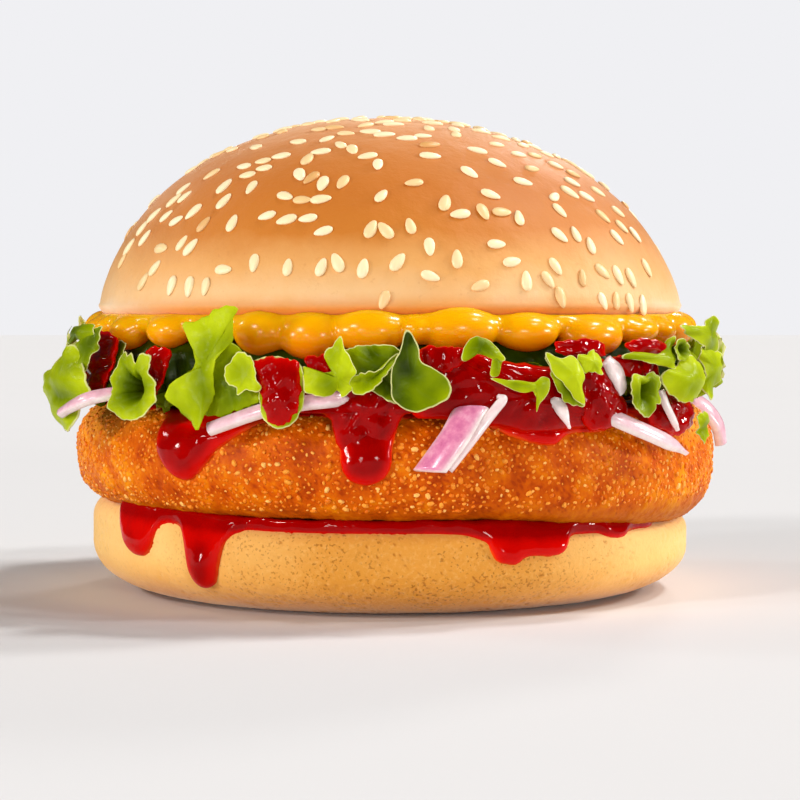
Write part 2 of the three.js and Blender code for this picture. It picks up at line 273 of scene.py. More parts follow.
def report(piece: bpy.types.Object) -> None:
    """Log a finished piece and its size in triangles."""
    count = sum(len(face.vertices) - 2 for face in piece.data.polygons)
    LOG.info("%s: %d triangles", piece.name, count)


def settle(piece: bpy.types.Object, slot: str, *nodes: str) -> None:
    """Hand a finished piece to the frame.

    Args:
        piece: The finished piece.
        slot: The slot that its finish comes from; not used.
        *nodes: The CAD nodes that it stands for.
    """
    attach(piece, "root")
    if nodes:
        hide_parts(*nodes)
    report(piece)


@dataclass(frozen=True)
class Span:
    """The box of a CAD node, in millimetres."""

    low: Vector
    high: Vector

    @classmethod
    def of(cls, node: str) -> "Span":
        """Read the box of a node."""
        low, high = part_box(node)
        return cls(low / MM, high / MM)

    @property
    def height(self) -> float:
        """How tall the node is."""
        return self.high.z - self.low.z


@dataclass(frozen=True)
class Turned:
    """A round layer: an outline turned about the axis, then made slightly uneven.

    The outline holds radius and height pairs that start and end on the axis, from the top down.
    """

    outline: np.ndarray
    columns: int
    shape: Callable[[np.ndarray, np.ndarray], tuple[np.ndarray, np.ndarray]]

    def heap(self) -> Heap:
        """Turn the outline into a closed mesh."""
        bearing = np.linspace(0, 2 * math.pi, self.columns, endpoint=False)
        inner = self.outline[1:-1]
        radius, height = (column[:, None] for column in inner.T)
        share, lean = self.shape(bearing[None, :], height)
        skin = around(bearing[None, :], radius * share, height)
        skin[..., 0] += lean
        heap = Heap()
        heap.tube(skin, [(skin[0, :, 0].mean(), 0, self.outline[0, 1]), (0, 0, self.outline[-1, 1])])
        return heap


def thinned(outline: Places, step: float) -> np.ndarray:
    """Respace an outline evenly.

    Args:
        outline: Radius and height pairs.
        step: The spacing to aim at.

    Returns:
        The outline with even steps.
    """
    table = np.array(outline, dtype=float)
    reach = np.concatenate(([0], np.cumsum(np.hypot(*np.diff(table, axis=0).T))))
    stops = np.linspace(0, reach[-1], max(2, round(reach[-1] / step)) + 1)
    return np.stack([np.interp(stops, reach, column) for column in table.T], axis=-1)


# ---- Node graphs ---------------------------------------------------------------------------------


Term = Union["Wire", float]


class Wire:
    """An output socket, with arithmetic that adds the nodes it needs."""

    def __init__(self, graph: "Graph", socket: bpy.types.NodeSocket) -> None:
        """Keep the socket and its graph."""
        self.graph = graph
        self.socket = socket

    def maths(self, operation: str, *terms: Term) -> "Wire":
        """Add a Math node that starts with this socket."""
        return self.graph.sum(operation, self, *terms)

    def __add__(self, other: Term) -> "Wire":
        """Add."""
        return self.maths("ADD", other)

    __radd__ = __add__

    def __sub__(self, other: Term) -> "Wire":
        """Subtract."""
        return self.maths("SUBTRACT", other)

    def __rsub__(self, other: Term) -> "Wire":
        """Subtract from a number."""
        return self.graph.sum("SUBTRACT", other, self)

    def __mul__(self, other: Term) -> "Wire":
        """Multiply."""
        return self.maths("MULTIPLY", other)

    __rmul__ = __mul__

    def __truediv__(self, other: Term) -> "Wire":
        """Divide."""
        return self.maths("DIVIDE", other)

    def rise(self, low: float, high: float, start: float = 0.0, end: float = 1.0) -> "Wire":
        """Ease from start to end as the value goes from low to high."""
        return self.graph.node("ShaderNodeMapRange", {"interpolation_type": "SMOOTHSTEP"},
                               {0: self, 1: low, 2: high, 3: start, 4: end})


class Graph:
    """A node tree that is written as expressions."""

    def __init__(self, tree: bpy.types.NodeTree) -> None:
        """Keep the tree."""
        self.tree = tree

    def node(self, kind: str, settings: Optional[dict] = None, sockets: Optional[dict] = None,
             output: Union[int, str] = 0) -> Wire:
        """Add a node.

        Args:
            kind: Its type.
            settings: Its own properties, set first.
            sockets: Values or wires for its inputs, by name or number.
            output: The output to return.

        Returns:
            That output.
        """
        made = self.tree.nodes.new(kind)
        for name, value in (settings or {}).items():
            setattr(made, name, value)
        for key, value in (sockets or {}).items():
            self.feed(made.inputs[key], value)
        return Wire(self, made.outputs[output])

    def feed(self, socket: bpy.types.NodeSocket, value: object) -> None:
        """Link a wire to a socket, or set the socket's value."""
        if isinstance(value, Wire):
            self.tree.links.new(value.socket, socket)
        else:
            socket.default_value = value

    def sum(self, operation: str, *terms: Term) -> Wire:
        """Add a Math node."""
        return self.node("ShaderNodeMath", {"operation": operation}, dict(enumerate(terms)))

    def vectors(self, operation: str, sockets: dict, output: Union[int, str] = 0) -> Wire:
        """Add a Vector Math node."""
        return self.node("ShaderNodeVectorMath", {"operation": operation}, sockets, output)

    def blend(self, share: Term, first: object, second: object) -> Wire:
        """Mix two colours."""
        return self.node("ShaderNodeMix", {"data_type": "RGBA"}, {0: share, 6: first, 7: second}, 2)

    def ramp(self, share: Term, stops: Sequence[tuple[float, Colour]]) -> Wire:
        """Colour a value by stops.

        Args:
            share: The value, from 0 to 1.
            stops: Places and sRGB colours, in order.

        Returns:
            The colour.
        """
        colour = self.node("ShaderNodeValToRGB", {}, {0: share})
        band = colour.socket.node.color_ramp
        while len(band.elements) < len(stops):
            band.elements.new(1.0)
        for element, (place, shade) in zip(band.elements, stops):
            element.position, element.color = place, linear(shade)
        return colour

    def noise(self, size: float, detail: float = 2.0, rough: float = 0.5) -> Wire:
        """Add 3-D noise in the piece's own space.

        Args:
            size: Size of a lump in millimetres.
            detail: How many finer layers it has.
            rough: How strong they are.

        Returns:
            Noise from 0 to 1.
        """
        return self.node("ShaderNodeTexNoise", {}, {
            "Vector": self.spot(), "Scale": 1 / (size * MM), "Detail": detail, "Roughness": rough})

    def spot(self) -> Wire:
        """Give the place in the piece's own space, in metres."""
        raise NotImplementedError


class Shading(Graph):
    """The node tree of a material with one Principled shader."""

    def __init__(self, material: bpy.types.Material) -> None:
        """Empty the tree and add the shader and the output."""
        material.use_nodes = True
        super().__init__(material.node_tree)
        self.tree.nodes.clear()
        self.shader = self.tree.nodes.new("ShaderNodeBsdfPrincipled")
        self.exit = self.tree.nodes.new("ShaderNodeOutputMaterial")
        self.place = self.node("ShaderNodeTexCoord", {}, {}, "Object")
        self.show(Wire(self, self.shader.outputs[0]))

    def show(self, surface: Wire) -> None:
        """Link a shader to the output."""
        self.feed(self.exit.inputs["Surface"], surface)

    def spot(self) -> Wire:
        """Give the place in the piece's own space, in metres."""
        return self.place

    def height(self) -> Wire:
        """Give the height in millimetres."""
        return self.node("ShaderNodeSeparateXYZ", {}, {0: self.place}, 2) * (1 / MM)

    def frontness(self, reach: float) -> Wire:
        """Give how far to the front a place lies: 1 at the front of a reach in mm, -1 at the back."""
        return self.node("ShaderNodeSeparateXYZ", {}, {0: self.place}, 1) * (-1 / (reach * MM))

    def value(self, name: str) -> Wire:
        """Read a piece's own attribute."""
        return self.node("ShaderNodeAttribute", {"attribute_name": name}, {}, "Fac")

    def bump(self, height: Wire, depth: float, strength: float = 1.0) -> None:
        """Bump the surface.

        Args:
            height: The relief, from 0 to 1.
            depth: What 1 stands for, in millimetres.
            strength: How strongly it shows.
        """
        normal = self.node("ShaderNodeBump", {}, {
            "Height": height, "Distance": depth * MM, "Strength": strength})
        self.set(Normal=normal)

    def soften(self, weight: float, depth: float, radius: tuple[float, float, float]) -> None:
        """Let light into the surface, to a depth in mm and by a radius for each colour."""
        self.set(Subsurface_Weight=weight, Subsurface_Scale=depth * MM, Subsurface_Radius=radius)

    def set(self, **values: object) -> None:
        """Set the shader's sockets, their names written with underscores."""
        for name, value in values.items():
            self.feed(self.shader.inputs[name.replace("_", " ")], value)


class Recipe(Graph):
    """A Geometry Nodes tree with named inputs, baked into a plain mesh."""

    def __init__(self, name: str, sizes: dict[str, float]) -> None:
        """Make the tree.

        Args:
            name: Its name.
            sizes: Its inputs and their values; lengths are in metres.
        """
        super().__init__(bpy.data.node_groups.new(name, "GeometryNodeTree"))
        self.sizes = sizes
        face = self.tree.interface
        face.new_socket("Geometry", in_out="INPUT", socket_type="NodeSocketGeometry")
        face.new_socket("Geometry", in_out="OUTPUT", socket_type="NodeSocketGeometry")
        for label, value in sizes.items():
            kind = "NodeSocketInt" if isinstance(value, int) else "NodeSocketFloat"
            face.new_socket(label, in_out="INPUT", socket_type=kind)
        self.entry = self.tree.nodes.new("NodeGroupInput")
        self.exit = self.tree.nodes.new("NodeGroupOutput")
        self.base = Wire(self, self.entry.outputs["Geometry"])

    def spot(self) -> Wire:
        """Give the place of a point, in metres."""
        return self.node("GeometryNodeInputPosition")

    def size(self, label: str) -> Wire:
        """Give one of the named inputs."""
        return Wire(self, self.entry.outputs[label])

    def random(self, low: Term, high: Term, seed: Term) -> Wire:
        """Draw a number between two for each point or instance."""
        return self.node("FunctionNodeRandomValue", {"data_type": "FLOAT"}, {2: low, 3: high, 8: seed}, 1)

    def planted(self, points: Wire, grain: bpy.types.Object, turn: Wire, seed: Term) -> Wire:
        """Put a grain on each point, its size drawn between the inputs Smallest and Largest."""
        scale = self.random(self.size("Smallest"), self.size("Largest"), seed)
        shape = self.node("GeometryNodeObjectInfo", {}, {"Object": grain}, "Geometry")
        return self.node("GeometryNodeInstanceOnPoints", {}, {
            "Points": points, "Instance": shape, "Rotation": turn, "Scale": scale})

    def store(self, geometry: Wire, name: str, value: Wire, domain: str) -> Wire:
        """Keep a number in an attribute of each point or instance."""
        return self.node("GeometryNodeStoreNamedAttribute", {"data_type": "FLOAT", "domain": domain},
                         {"Geometry": geometry, "Name": name, "Value": value})

    def toasted(self, grains: Wire) -> Wire:
        """Draw each grain's own toast, from 0 to 1."""
        return self.store(grains, "toast", self.random(0.0, 1.0, self.size("Seed") + 2.0), "INSTANCE")

    def close(self, geometry: Wire, material: bpy.types.Material) -> None:
        """End the tree in real geometry with a finish."""
        real = self.node("GeometryNodeRealizeInstances", {}, {0: geometry})
        dressed = self.node("GeometryNodeSetMaterial", {}, {"Geometry": real, "Material": material})
        self.feed(self.exit.inputs[0], dressed)

    def bake(self, base: bpy.types.Object, name: str) -> bpy.types.Object:
        """Run the tree on an object.

        Args:
            base: The object it starts from, which is removed.
            name: The name of the result.

        Returns:
            A new object with a plain mesh.
        """
        modifier = base.modifiers.new(self.tree.name, "NODES")
        modifier.node_group = self.tree
        for item in self.tree.interface.items_tree:
            if item.in_out == "INPUT" and item.name in self.sizes:
                modifier[item.identifier] = self.sizes[item.name]
        reached = base.evaluated_get(bpy.context.evaluated_depsgraph_get())
        mesh = bpy.data.meshes.new_from_object(reached)
        mesh.name = name
        bpy.data.objects.remove(base)
        mesh.shade_smooth()
        return placed(name, mesh)


# ---- Finishes ------------------------------------------------------------------------------------


@dataclass(frozen=True)
class Finish:
    """A finish of the burger."""

    name: str

    def paint(self, graph: Shading) -> None:
        """Add the finish's own nodes."""
        raise NotImplementedError

    def material(self) -> bpy.types.Material:
        """Make the finish's material."""
        made = bpy.data.materials.new(self.name)
        self.paint(Shading(made))
        return made


@dataclass(frozen=True)
class Crust(Finish):
    """The baked skin of the crown: brown on top, pale towards its rim."""

    rim: float
    apex: float

    def paint(self, graph: Shading) -> None:
        """Colour by height, with soft blotches, painted orange shade low on the front, and a fine wrinkled
        skin.
        """
        blotch = graph.noise(16, 3, 0.5) - 0.5
        fine = graph.noise(2.2, 3, 0.6) - 0.5
        share = (graph.height() - self.rim) / (self.apex - self.rim)
        share = share + blotch * 0.24 + fine * 0.05
        colour = graph.ramp(share, [
            (0.0, (243, 216, 184)), (0.1, (236, 191, 136)), (0.24, (226, 165, 96)),
            (0.42, (200, 120, 40)), (0.62, (194, 111, 32)), (1.0, (203, 122, 46))])
        # Painted shade: an orange band low on the front of the crown stands for the shade and the cheese's
        # bounce light along its foot.
        low = graph.height().rise(self.rim + 1.0, self.rim + 4.4, 1.0, 0.0)
        painted_foot_shade = graph.frontness(48).rise(0.4, 0.9) * low
        colour = graph.blend(painted_foot_shade * 0.9, colour, linear((222, 134, 20)))
        speck = graph.noise(0.9, 2, 0.5).rise(0.62, 0.8)
        colour = graph.blend(speck * 0.18, colour, linear((176, 92, 36)))
        skin = graph.noise(1.1, 4, 0.62) * 0.6 + graph.noise(5, 2, 0.5) * 0.4
        graph.set(Base_Color=colour, Roughness=0.5, Specular_IOR_Level=0.22, Sheen_Weight=0.4,
                  Sheen_Roughness=0.4, Sheen_Tint=linear((255, 236, 212)))
        graph.soften(0.06, 2, (1.0, 0.5, 0.25))
        graph.bump(skin, 0.22, 0.6)


@dataclass(frozen=True)
class Loaf(Finish):
    """The bottom bun: pale gold with a browner foot, a browner front and paler sides (partly uneven baking,
    partly painted sheen), and fine pores darkened by painted shade.
    """

    foot: float
    rim: float

    def paint(self, graph: Shading) -> None:
        """Colour by height, brown the front and leave painted sheen at the sides, and darken the pores with
        painted shade.
        """
        share = (graph.height() - self.foot) / (self.rim - self.foot)
        share = share + (graph.noise(11, 3, 0.55) - 0.5) * 0.35
        colour = graph.ramp(share, [
            (0.0, (196, 112, 22)), (0.12, (216, 140, 48)), (0.35, (243, 182, 94)),
            (0.7, (246, 198, 118)), (1.0, (246, 196, 118))])
        # Browner towards the front and paler at the sides: partly uneven baking, partly painted sheen at the
        # sides.
        front_browning_and_side_sheen = (graph.frontness(52) + (graph.noise(24, 2, 0.5) - 0.5) * 0.4).rise(0.66, 1.0)
        colour = graph.blend(front_browning_and_side_sheen * 0.85, colour, linear((212, 138, 36)))
        # Painted shade in the pits of the relief, and in dots that stand for finer pores.
        painted_pit_shade = graph.value("relief").rise(-0.9, -0.15, 1.0, 0.0)
        grain = graph.noise(0.7, 3, 0.6)
        colour = graph.blend(painted_pit_shade * (0.3 + front_browning_and_side_sheen * 0.5), colour, linear((176, 100, 18)))
        painted_pore_dots = graph.noise(0.5, 1, 0.5).rise(0.58, 0.68) * graph.noise(5, 2, 0.5).rise(0.35, 0.5)
        colour = graph.blend(painted_pore_dots * (0.1 + front_browning_and_side_sheen * 0.6), colour, linear((152, 88, 10)))
        colour = graph.blend(grain.rise(0.45, 0.8) * 0.25, colour, linear((250, 204, 128)))
        graph.set(Base_Color=colour, Roughness=0.72, Specular_IOR_Level=0.12, Sheen_Weight=0.34,
                  Sheen_Roughness=0.45, Sheen_Tint=linear((255, 244, 230)))
        graph.soften(0.05, 2, (1.0, 0.5, 0.25))
        graph.bump(grain + graph.noise(0.35, 2, 0.5) * 0.5, 0.12, 0.6)


@dataclass(frozen=True)
class Breading(Finish):
    """Fried crumb: deep orange with golden grains, darker in its hollows and paler on its grains partly by
    painted shade and light.
    """

    def paint(self, graph: Shading) -> None:
        """Colour by relief, which paints shade in the hollows and light on the grains, by blotches, and by
        painted light and shade at the sides and foot.
        """
        relief = graph.value("relief")
        blotch = graph.noise(5, 3, 0.6)
        # Deeper orange towards the front and paler at the sides: partly uneven browning, partly painted sheen
        # at the sides.
        front_browning_and_side_sheen = (graph.frontness(56) + (graph.noise(26, 2, 0.5) - 0.5) * 0.5).rise(0.45, 1.0)
        # The relief term paints shade in the hollows and light on the grains.
        share = relief * 0.3 + blotch * 1.1 + graph.noise(0.6, 2, 0.5) * 0.2 - 0.12 - front_browning_and_side_sheen * 0.28
        colour = graph.ramp(share, [
            (0.0, (166, 58, 0)), (0.2, (196, 80, 0)), (0.4, (214, 102, 0)),
            (0.6, (228, 128, 2)), (0.8, (242, 156, 16)), (1.0, (250, 184, 46))])
        # Painted light: the upper edge at the sides and back is made paler where the leaves above cast shade.
        painted_shoulder_light = graph.height().rise(25.5, 29.5) * graph.frontness(56).rise(0.3, 0.75, 1.0, 0.0)
        colour = graph.blend(painted_shoulder_light * 0.85, colour, linear((255, 158, 48)))
        # Darker towards the foot, where the patty sits on the heel: partly its browner edge, partly painted
        # shade.
        edge = graph.height().rise(14.0, 19.5, 1.0, 0.0)
        colour = graph.blend(edge * 0.6, colour, linear((160, 88, 6)))
        graph.set(Base_Color=colour, Roughness=0.42, Specular_IOR_Level=0.06)
        graph.bump(graph.noise(0.5, 3, 0.6), 0.14, 0.7)


@dataclass(frozen=True)
class GoldenCrumb(Finish):
    """Crisp fried crumbs, paler than the breading that they stick to."""

    def paint(self, graph: Shading) -> None:
        """Colour each crumb a little differently."""
        colour = graph.ramp(graph.value("toast"), [
            (0.0, (222, 106, 4)), (0.45, (236, 132, 22)), (0.85, (246, 160, 54)), (1.0, (255, 196, 108))])
        graph.set(Base_Color=colour, Roughness=0.35, Specular_IOR_Level=0.2)
        graph.soften(0.1, 0.5, (1.0, 0.5, 0.2))


@dataclass(frozen=True)
class ChilliSauce(Finish):
    """Wet red sauce, brighter where it is thin, and darkened by painted shade under the layer above."""

    def paint(self, graph: Shading) -> None:
        """Colour by depth, which holds the thickness and painted shade under the layer above."""
        depth = graph.value("depth")
        share = depth.rise(0.1, 1.9) + (graph.noise(3.2, 2, 0.5) - 0.5) * 0.35
        colour = graph.ramp(share, [
            (0.0, (228, 70, 14)), (0.15, (216, 24, 2)), (0.4, (208, 8, 0)), (0.7, (192, 3, 0)),
            (1.0, (146, 0, 0))])
        graph.set(Base_Color=colour, Roughness=0.07, Specular_IOR_Level=0.12)
        graph.soften(0.1, 2, (1.0, 0.05, 0.02))
        graph.bump(graph.noise(2.6, 2, 0.5), 0.25, 0.5)


@dataclass(frozen=True)
class CheeseSauce(Finish):
    """Smooth glossy orange sauce."""

    def paint(self, graph: Shading) -> None:
        """Colour with slow blotches, and redder, darker undersides as painted shade."""
        share = graph.value("lift") + (graph.noise(7, 2, 0.5) - 0.5) * 0.3
        # Painted shade: the lift makes the lower parts redder and darker.
        colour = graph.ramp(share, [
            (0.0, (255, 104, 0)), (0.3, (255, 140, 0)), (0.7, (255, 163, 0)), (1.0, (255, 172, 0))])
        graph.set(Base_Color=colour, Roughness=0.2, Specular_IOR_Level=0.25)
        graph.soften(0.7, 7, (1.0, 0.45, 0.03))
        graph.bump(graph.noise(4, 2, 0.5), 0.15, 0.3)


@dataclass(frozen=True)
class OnionFlesh(Finish):
    """Moist onion: white flesh with a purple-pink skin side."""

    def paint(self, graph: Shading) -> None:
        """Colour by the skin attribute, with fine lines along the strip."""
        skin = graph.value("skin")
        streak = graph.noise(1.4, 3, 0.6)
        tint = graph.ramp(streak, [(0.25, (204, 98, 150)), (0.55, (226, 134, 172)), (0.8, (240, 176, 200))])
        flesh = graph.ramp(streak, [(0.2, (238, 214, 212)), (0.7, (252, 242, 238))])
        colour = graph.blend(skin, flesh, tint)
        graph.set(Base_Color=colour, Roughness=0.24, Specular_IOR_Level=0.5, Coat_Weight=0.3,
                  Coat_Roughness=0.1)
        graph.soften(0.2, 3, (1.0, 0.7, 0.7))
        graph.bump(streak, 0.1, 0.4)


@dataclass(frozen=True)
class LeafSkin(Finish):
    """Fresh lettuce: brighter towards its rim and deep green in its hollows, partly its own colour and partly
    painted light and shade, with a pale edge line.
    """

    glow: float = 0.26

    def paint(self, graph: Shading) -> None:
        """Colour by the edge, vein and tone attributes, the tone carrying painted light and shade, and let
        light through.
        """
        edge, vein, tone = (graph.value(name) for name in ("edge", "vein", "tone"))
        mottle = graph.noise(2.6, 3, 0.55) - 0.5
        # The tone brings in painted light and shade: brighter crests and lit lobes, deeper green in hollows
        # and on lobes in shade.
        share = edge * 0.45 + tone * 0.6 + mottle * 0.3 - 0.04
        colour = graph.ramp(share, [
            (0.0, (48, 66, 0)), (0.25, (94, 116, 0)), (0.5, (138, 158, 0)),
            (0.75, (172, 190, 2)), (1.0, (206, 222, 24))])
        colour = graph.blend(vein * 0.4, colour, linear((206, 222, 120)))
        colour = graph.blend(edge.rise(0.9, 0.96) * 0.85, colour, linear((250, 248, 172)))
        graph.set(Base_Color=colour, Roughness=0.32, Specular_IOR_Level=0.07)
        graph.bump(graph.noise(1.5, 3, 0.6) + vein * 0.5, 0.25, 0.5)
        light = graph.node("ShaderNodeBsdfTranslucent", {}, {"Color": linear((150, 172, 4))})
        body = Wire(graph, graph.shader.outputs[0])
        graph.show(graph.node("ShaderNodeMixShader", {}, {0: self.glow, 1: body, 2: light}))


@dataclass(frozen=True)
class SeedSkin(Finish):
    """Hulled sesame, cream with a few toasted ones."""

    def paint(self, graph: Shading) -> None:
        """Colour each seed a little differently."""
        colour = graph.ramp(graph.value("toast"), [
            (0.0, (255, 236, 196)), (0.6, (252, 226, 178)), (0.9, (240, 200, 140)), (1.0, (222, 166, 100))])
        graph.set(Base_Color=colour, Roughness=0.38, Specular_IOR_Level=0.45)
        graph.soften(0.1, 1, (1.0, 0.7, 0.4))
        graph.bump(graph.noise(0.5, 2, 0.5), 0.05, 0.4)


@dataclass(frozen=True)
class Plain(Finish):
    """A plain matt finish for the floor."""

    colour: Colour

    def paint(self, graph: Shading) -> None:
        """Set one colour with a trace of mottle."""
        mottle = graph.noise(60, 2, 0.5)
        graph.set(Base_Color=graph.blend(mottle * 0.04, linear(self.colour), linear((255, 255, 255))),
                  Roughness=0.9, Specular_IOR_Level=0.1)


# ---- Bread and patty -----------------------------------------------------------------------------


@dataclass(frozen=True)
class Relief:
    """How rough a baked or fried surface is: lumps, grains and pits, sizes and depths in mm."""

    lump: float
    lump_depth: float
    grain: float
    grain_depth: float
    pit: float
    pit_depth: float
    pit_share: float

    def raise_on(self, base: bpy.types.Object, name: str, material: bpy.types.Material) -> bpy.types.Object:
        """Push a surface in and out along its normals.

        Args:
            base: The smooth surface, which is removed.
            name: The name of the result.
            material: Its finish.

        Returns:
            The rough surface, with its relief in an attribute.
        """
        tree = Recipe(f"{name}_relief", {
            "Lump size": self.lump * MM, "Lump depth": self.lump_depth * MM,
            "Grain size": self.grain * MM, "Grain depth": self.grain_depth * MM,
            "Pit size": self.pit * MM, "Pit depth": self.pit_depth * MM, "Pit share": self.pit_share})
        lumps = self._noise(tree, "Lump size", 2.0) - 0.5
        grains = self._noise(tree, "Grain size", 3.0) - 0.5
        cell = tree.node("ShaderNodeTexVoronoi", {"feature": "SMOOTH_F1"}, {
            "Vector": tree.spot(), "Scale": tree.sum("DIVIDE", 1.0, tree.size("Pit size")),
            "Smoothness": 0.25}, "Distance")
        where = self._noise(tree, "Lump size", 1.0).maths("GREATER_THAN", 1 - tree.size("Pit share"))
        pits = cell.rise(0.12, 0.42, 1.0, 0.0) * where
        depth = (lumps * tree.size("Lump depth") + grains * tree.size("Grain depth")
                 - pits * tree.size("Pit depth"))
        normal = tree.node("GeometryNodeInputNormal")
        push = tree.vectors("SCALE", {0: normal, "Scale": depth})
        moved = tree.node("GeometryNodeSetPosition", {}, {"Geometry": tree.base, "Offset": push})
        # The relief kept here is what the finishes use to paint shade in the hollows and, on the breading,
        # light on the grains.
        shade = grains * 2.2 + lumps * 0.8 - pits
        tree.close(tree.store(moved, "relief", shade, "POINT"), material)
        return tree.bake(base, name)

    @staticmethod
    def _noise(tree: Recipe, label: str, detail: float) -> Wire:
        """Add noise whose lumps have the size of a named input."""
        return tree.node("ShaderNodeTexNoise", {}, {
            "Vector": tree.spot(), "Scale": tree.sum("DIVIDE", 1.0, tree.size(label)),
            "Detail": detail, "Roughness": 0.55})


@dataclass(frozen=True)
class Scatter:
    """Small things spread over a surface in clusters: spacing, scale, sink and clusters, in mm."""

    name: str
    gap: float
    low: float
    high: float
    sink: float
    seed: int
    cluster: float
    share: float

    def spread(self, base: bpy.types.Object, grain: bpy.types.Object, lowest: float,
               material: bpy.types.Material) -> bpy.types.Object:
        """Spread a grain over a copy of a surface.

        Args:
            base: The surface, which is kept.
            grain: The grain, lying along x and flat in z.
            lowest: The lowest height that the grains reach down to.
            material: Their finish.

        Returns:
            One piece that holds all the grains.
        """
        tree = Recipe(self.name, {
            "Gap": self.gap * MM, "Smallest": self.low, "Largest": self.high,
            "Sink": self.sink * MM, "Lowest": lowest * MM, "Cluster": self.cluster * MM,
            "Share": self.share, "Seed": self.seed})
        height = tree.node("ShaderNodeSeparateXYZ", {}, {0: tree.spot()}, 2)
        crowd = tree.node("ShaderNodeTexNoise", {}, {
            "Vector": tree.spot(), "Scale": tree.sum("DIVIDE", 1.0, tree.size("Cluster")), "Detail": 3.0})
        full = crowd.rise(0.3, 0.7).maths("GREATER_THAN", 1 - tree.size("Share"))
        chosen = height.maths("GREATER_THAN", tree.size("Lowest")) * full
        dots = tree.tree.nodes.new("GeometryNodeDistributePointsOnFaces")
        dots.distribute_method = "POISSON"
        for label, wire in {"Mesh": tree.base, "Selection": chosen, "Distance Min": tree.size("Gap"),
                            "Density Max": 4e6, "Seed": tree.size("Seed")}.items():
            tree.feed(dots.inputs[label], wire)
        seed = tree.size("Seed")
        spin = tree.random(0.0, math.tau, seed)
        tilt = tree.node("FunctionNodeAxisAngleToRotation", {}, {"Axis": (0.0, 0.0, 1.0), "Angle": spin})
        turn = tree.node("FunctionNodeRotateRotation", {"rotation_space": "LOCAL"}, {
            0: Wire(tree, dots.outputs["Rotation"]), 1: tilt})
        grains = tree.planted(Wire(tree, dots.outputs["Points"]), grain, turn, seed + 1.0)
        sunk = tree.node("GeometryNodeTranslateInstances", {}, {
            0: grains, "Translation": tree.node("ShaderNodeCombineXYZ", {}, {2: tree.size("Sink") * -1.0}),
            "Local Space": True})
        tree.close(tree.toasted(sunk), material)
        return tree.bake(placed(self.name, base.data.copy()), self.name)


def seed_grain() -> bpy.types.Object:
    """Make one sesame seed: a flat drop whose pointed end is towards -x."""
    length, width, thickness, ring = 3.55, 2.3, 1.0, 9
    turn = np.linspace(0, 2 * math.pi, ring, endpoint=False)
    share = np.array([0.05, 0.18, 0.4, 0.64, 0.85, 0.97])
    half = np.sqrt(1 - (2 * share - 1) ** 2) * (0.66 + 0.36 * share)
    skin = np.stack(np.broadcast_arrays(
        (share[:, None] - 0.5) * length, half[:, None] * width / 2 * np.cos(turn),
        half[:, None] * thickness / 2 * np.sin(turn)), axis=-1)
    heap = Heap()
    heap.tube(skin, [(-length / 2, 0, 0), (length / 2, 0, 0)], inward=True)
    return heap.piece("seed_grain", None)


def crumb_grain() -> bpy.types.Object:
    """Make one crumb: a squashed, lopsided lump of twenty faces."""
    ratio = (1 + 5 ** 0.5) / 2
    corners = np.array([(-1, ratio, 0), (1, ratio, 0), (-1, -ratio, 0), (1, -ratio, 0),
                        (0, -1, ratio), (0, 1, ratio), (0, -1, -ratio), (0, 1, -ratio),
                        (ratio, 0, -1), (ratio, 0, 1), (-ratio, 0, -1), (-ratio, 0, 1)], dtype=float)
    faces = np.array([(0, 11, 5), (0, 5, 1), (0, 1, 7), (0, 7, 10), (0, 10, 11), (1, 5, 9), (5, 11, 4),
                      (11, 10, 2), (10, 7, 6), (7, 1, 8), (3, 9, 4), (3, 4, 2), (3, 2, 6), (3, 6, 8),
                      (3, 8, 9), (4, 9, 5), (2, 4, 11), (6, 2, 10), (8, 6, 7), (9, 8, 1)])
    draw = np.random.default_rng(3)
    corners *= draw.uniform(0.75, 1.2, (12, 1)) * np.array((0.42, 0.27, 0.2)) / ratio * 1.2
    heap = Heap()
    heap.add(corners, faces)
    return heap.piece("crumb_grain", None)


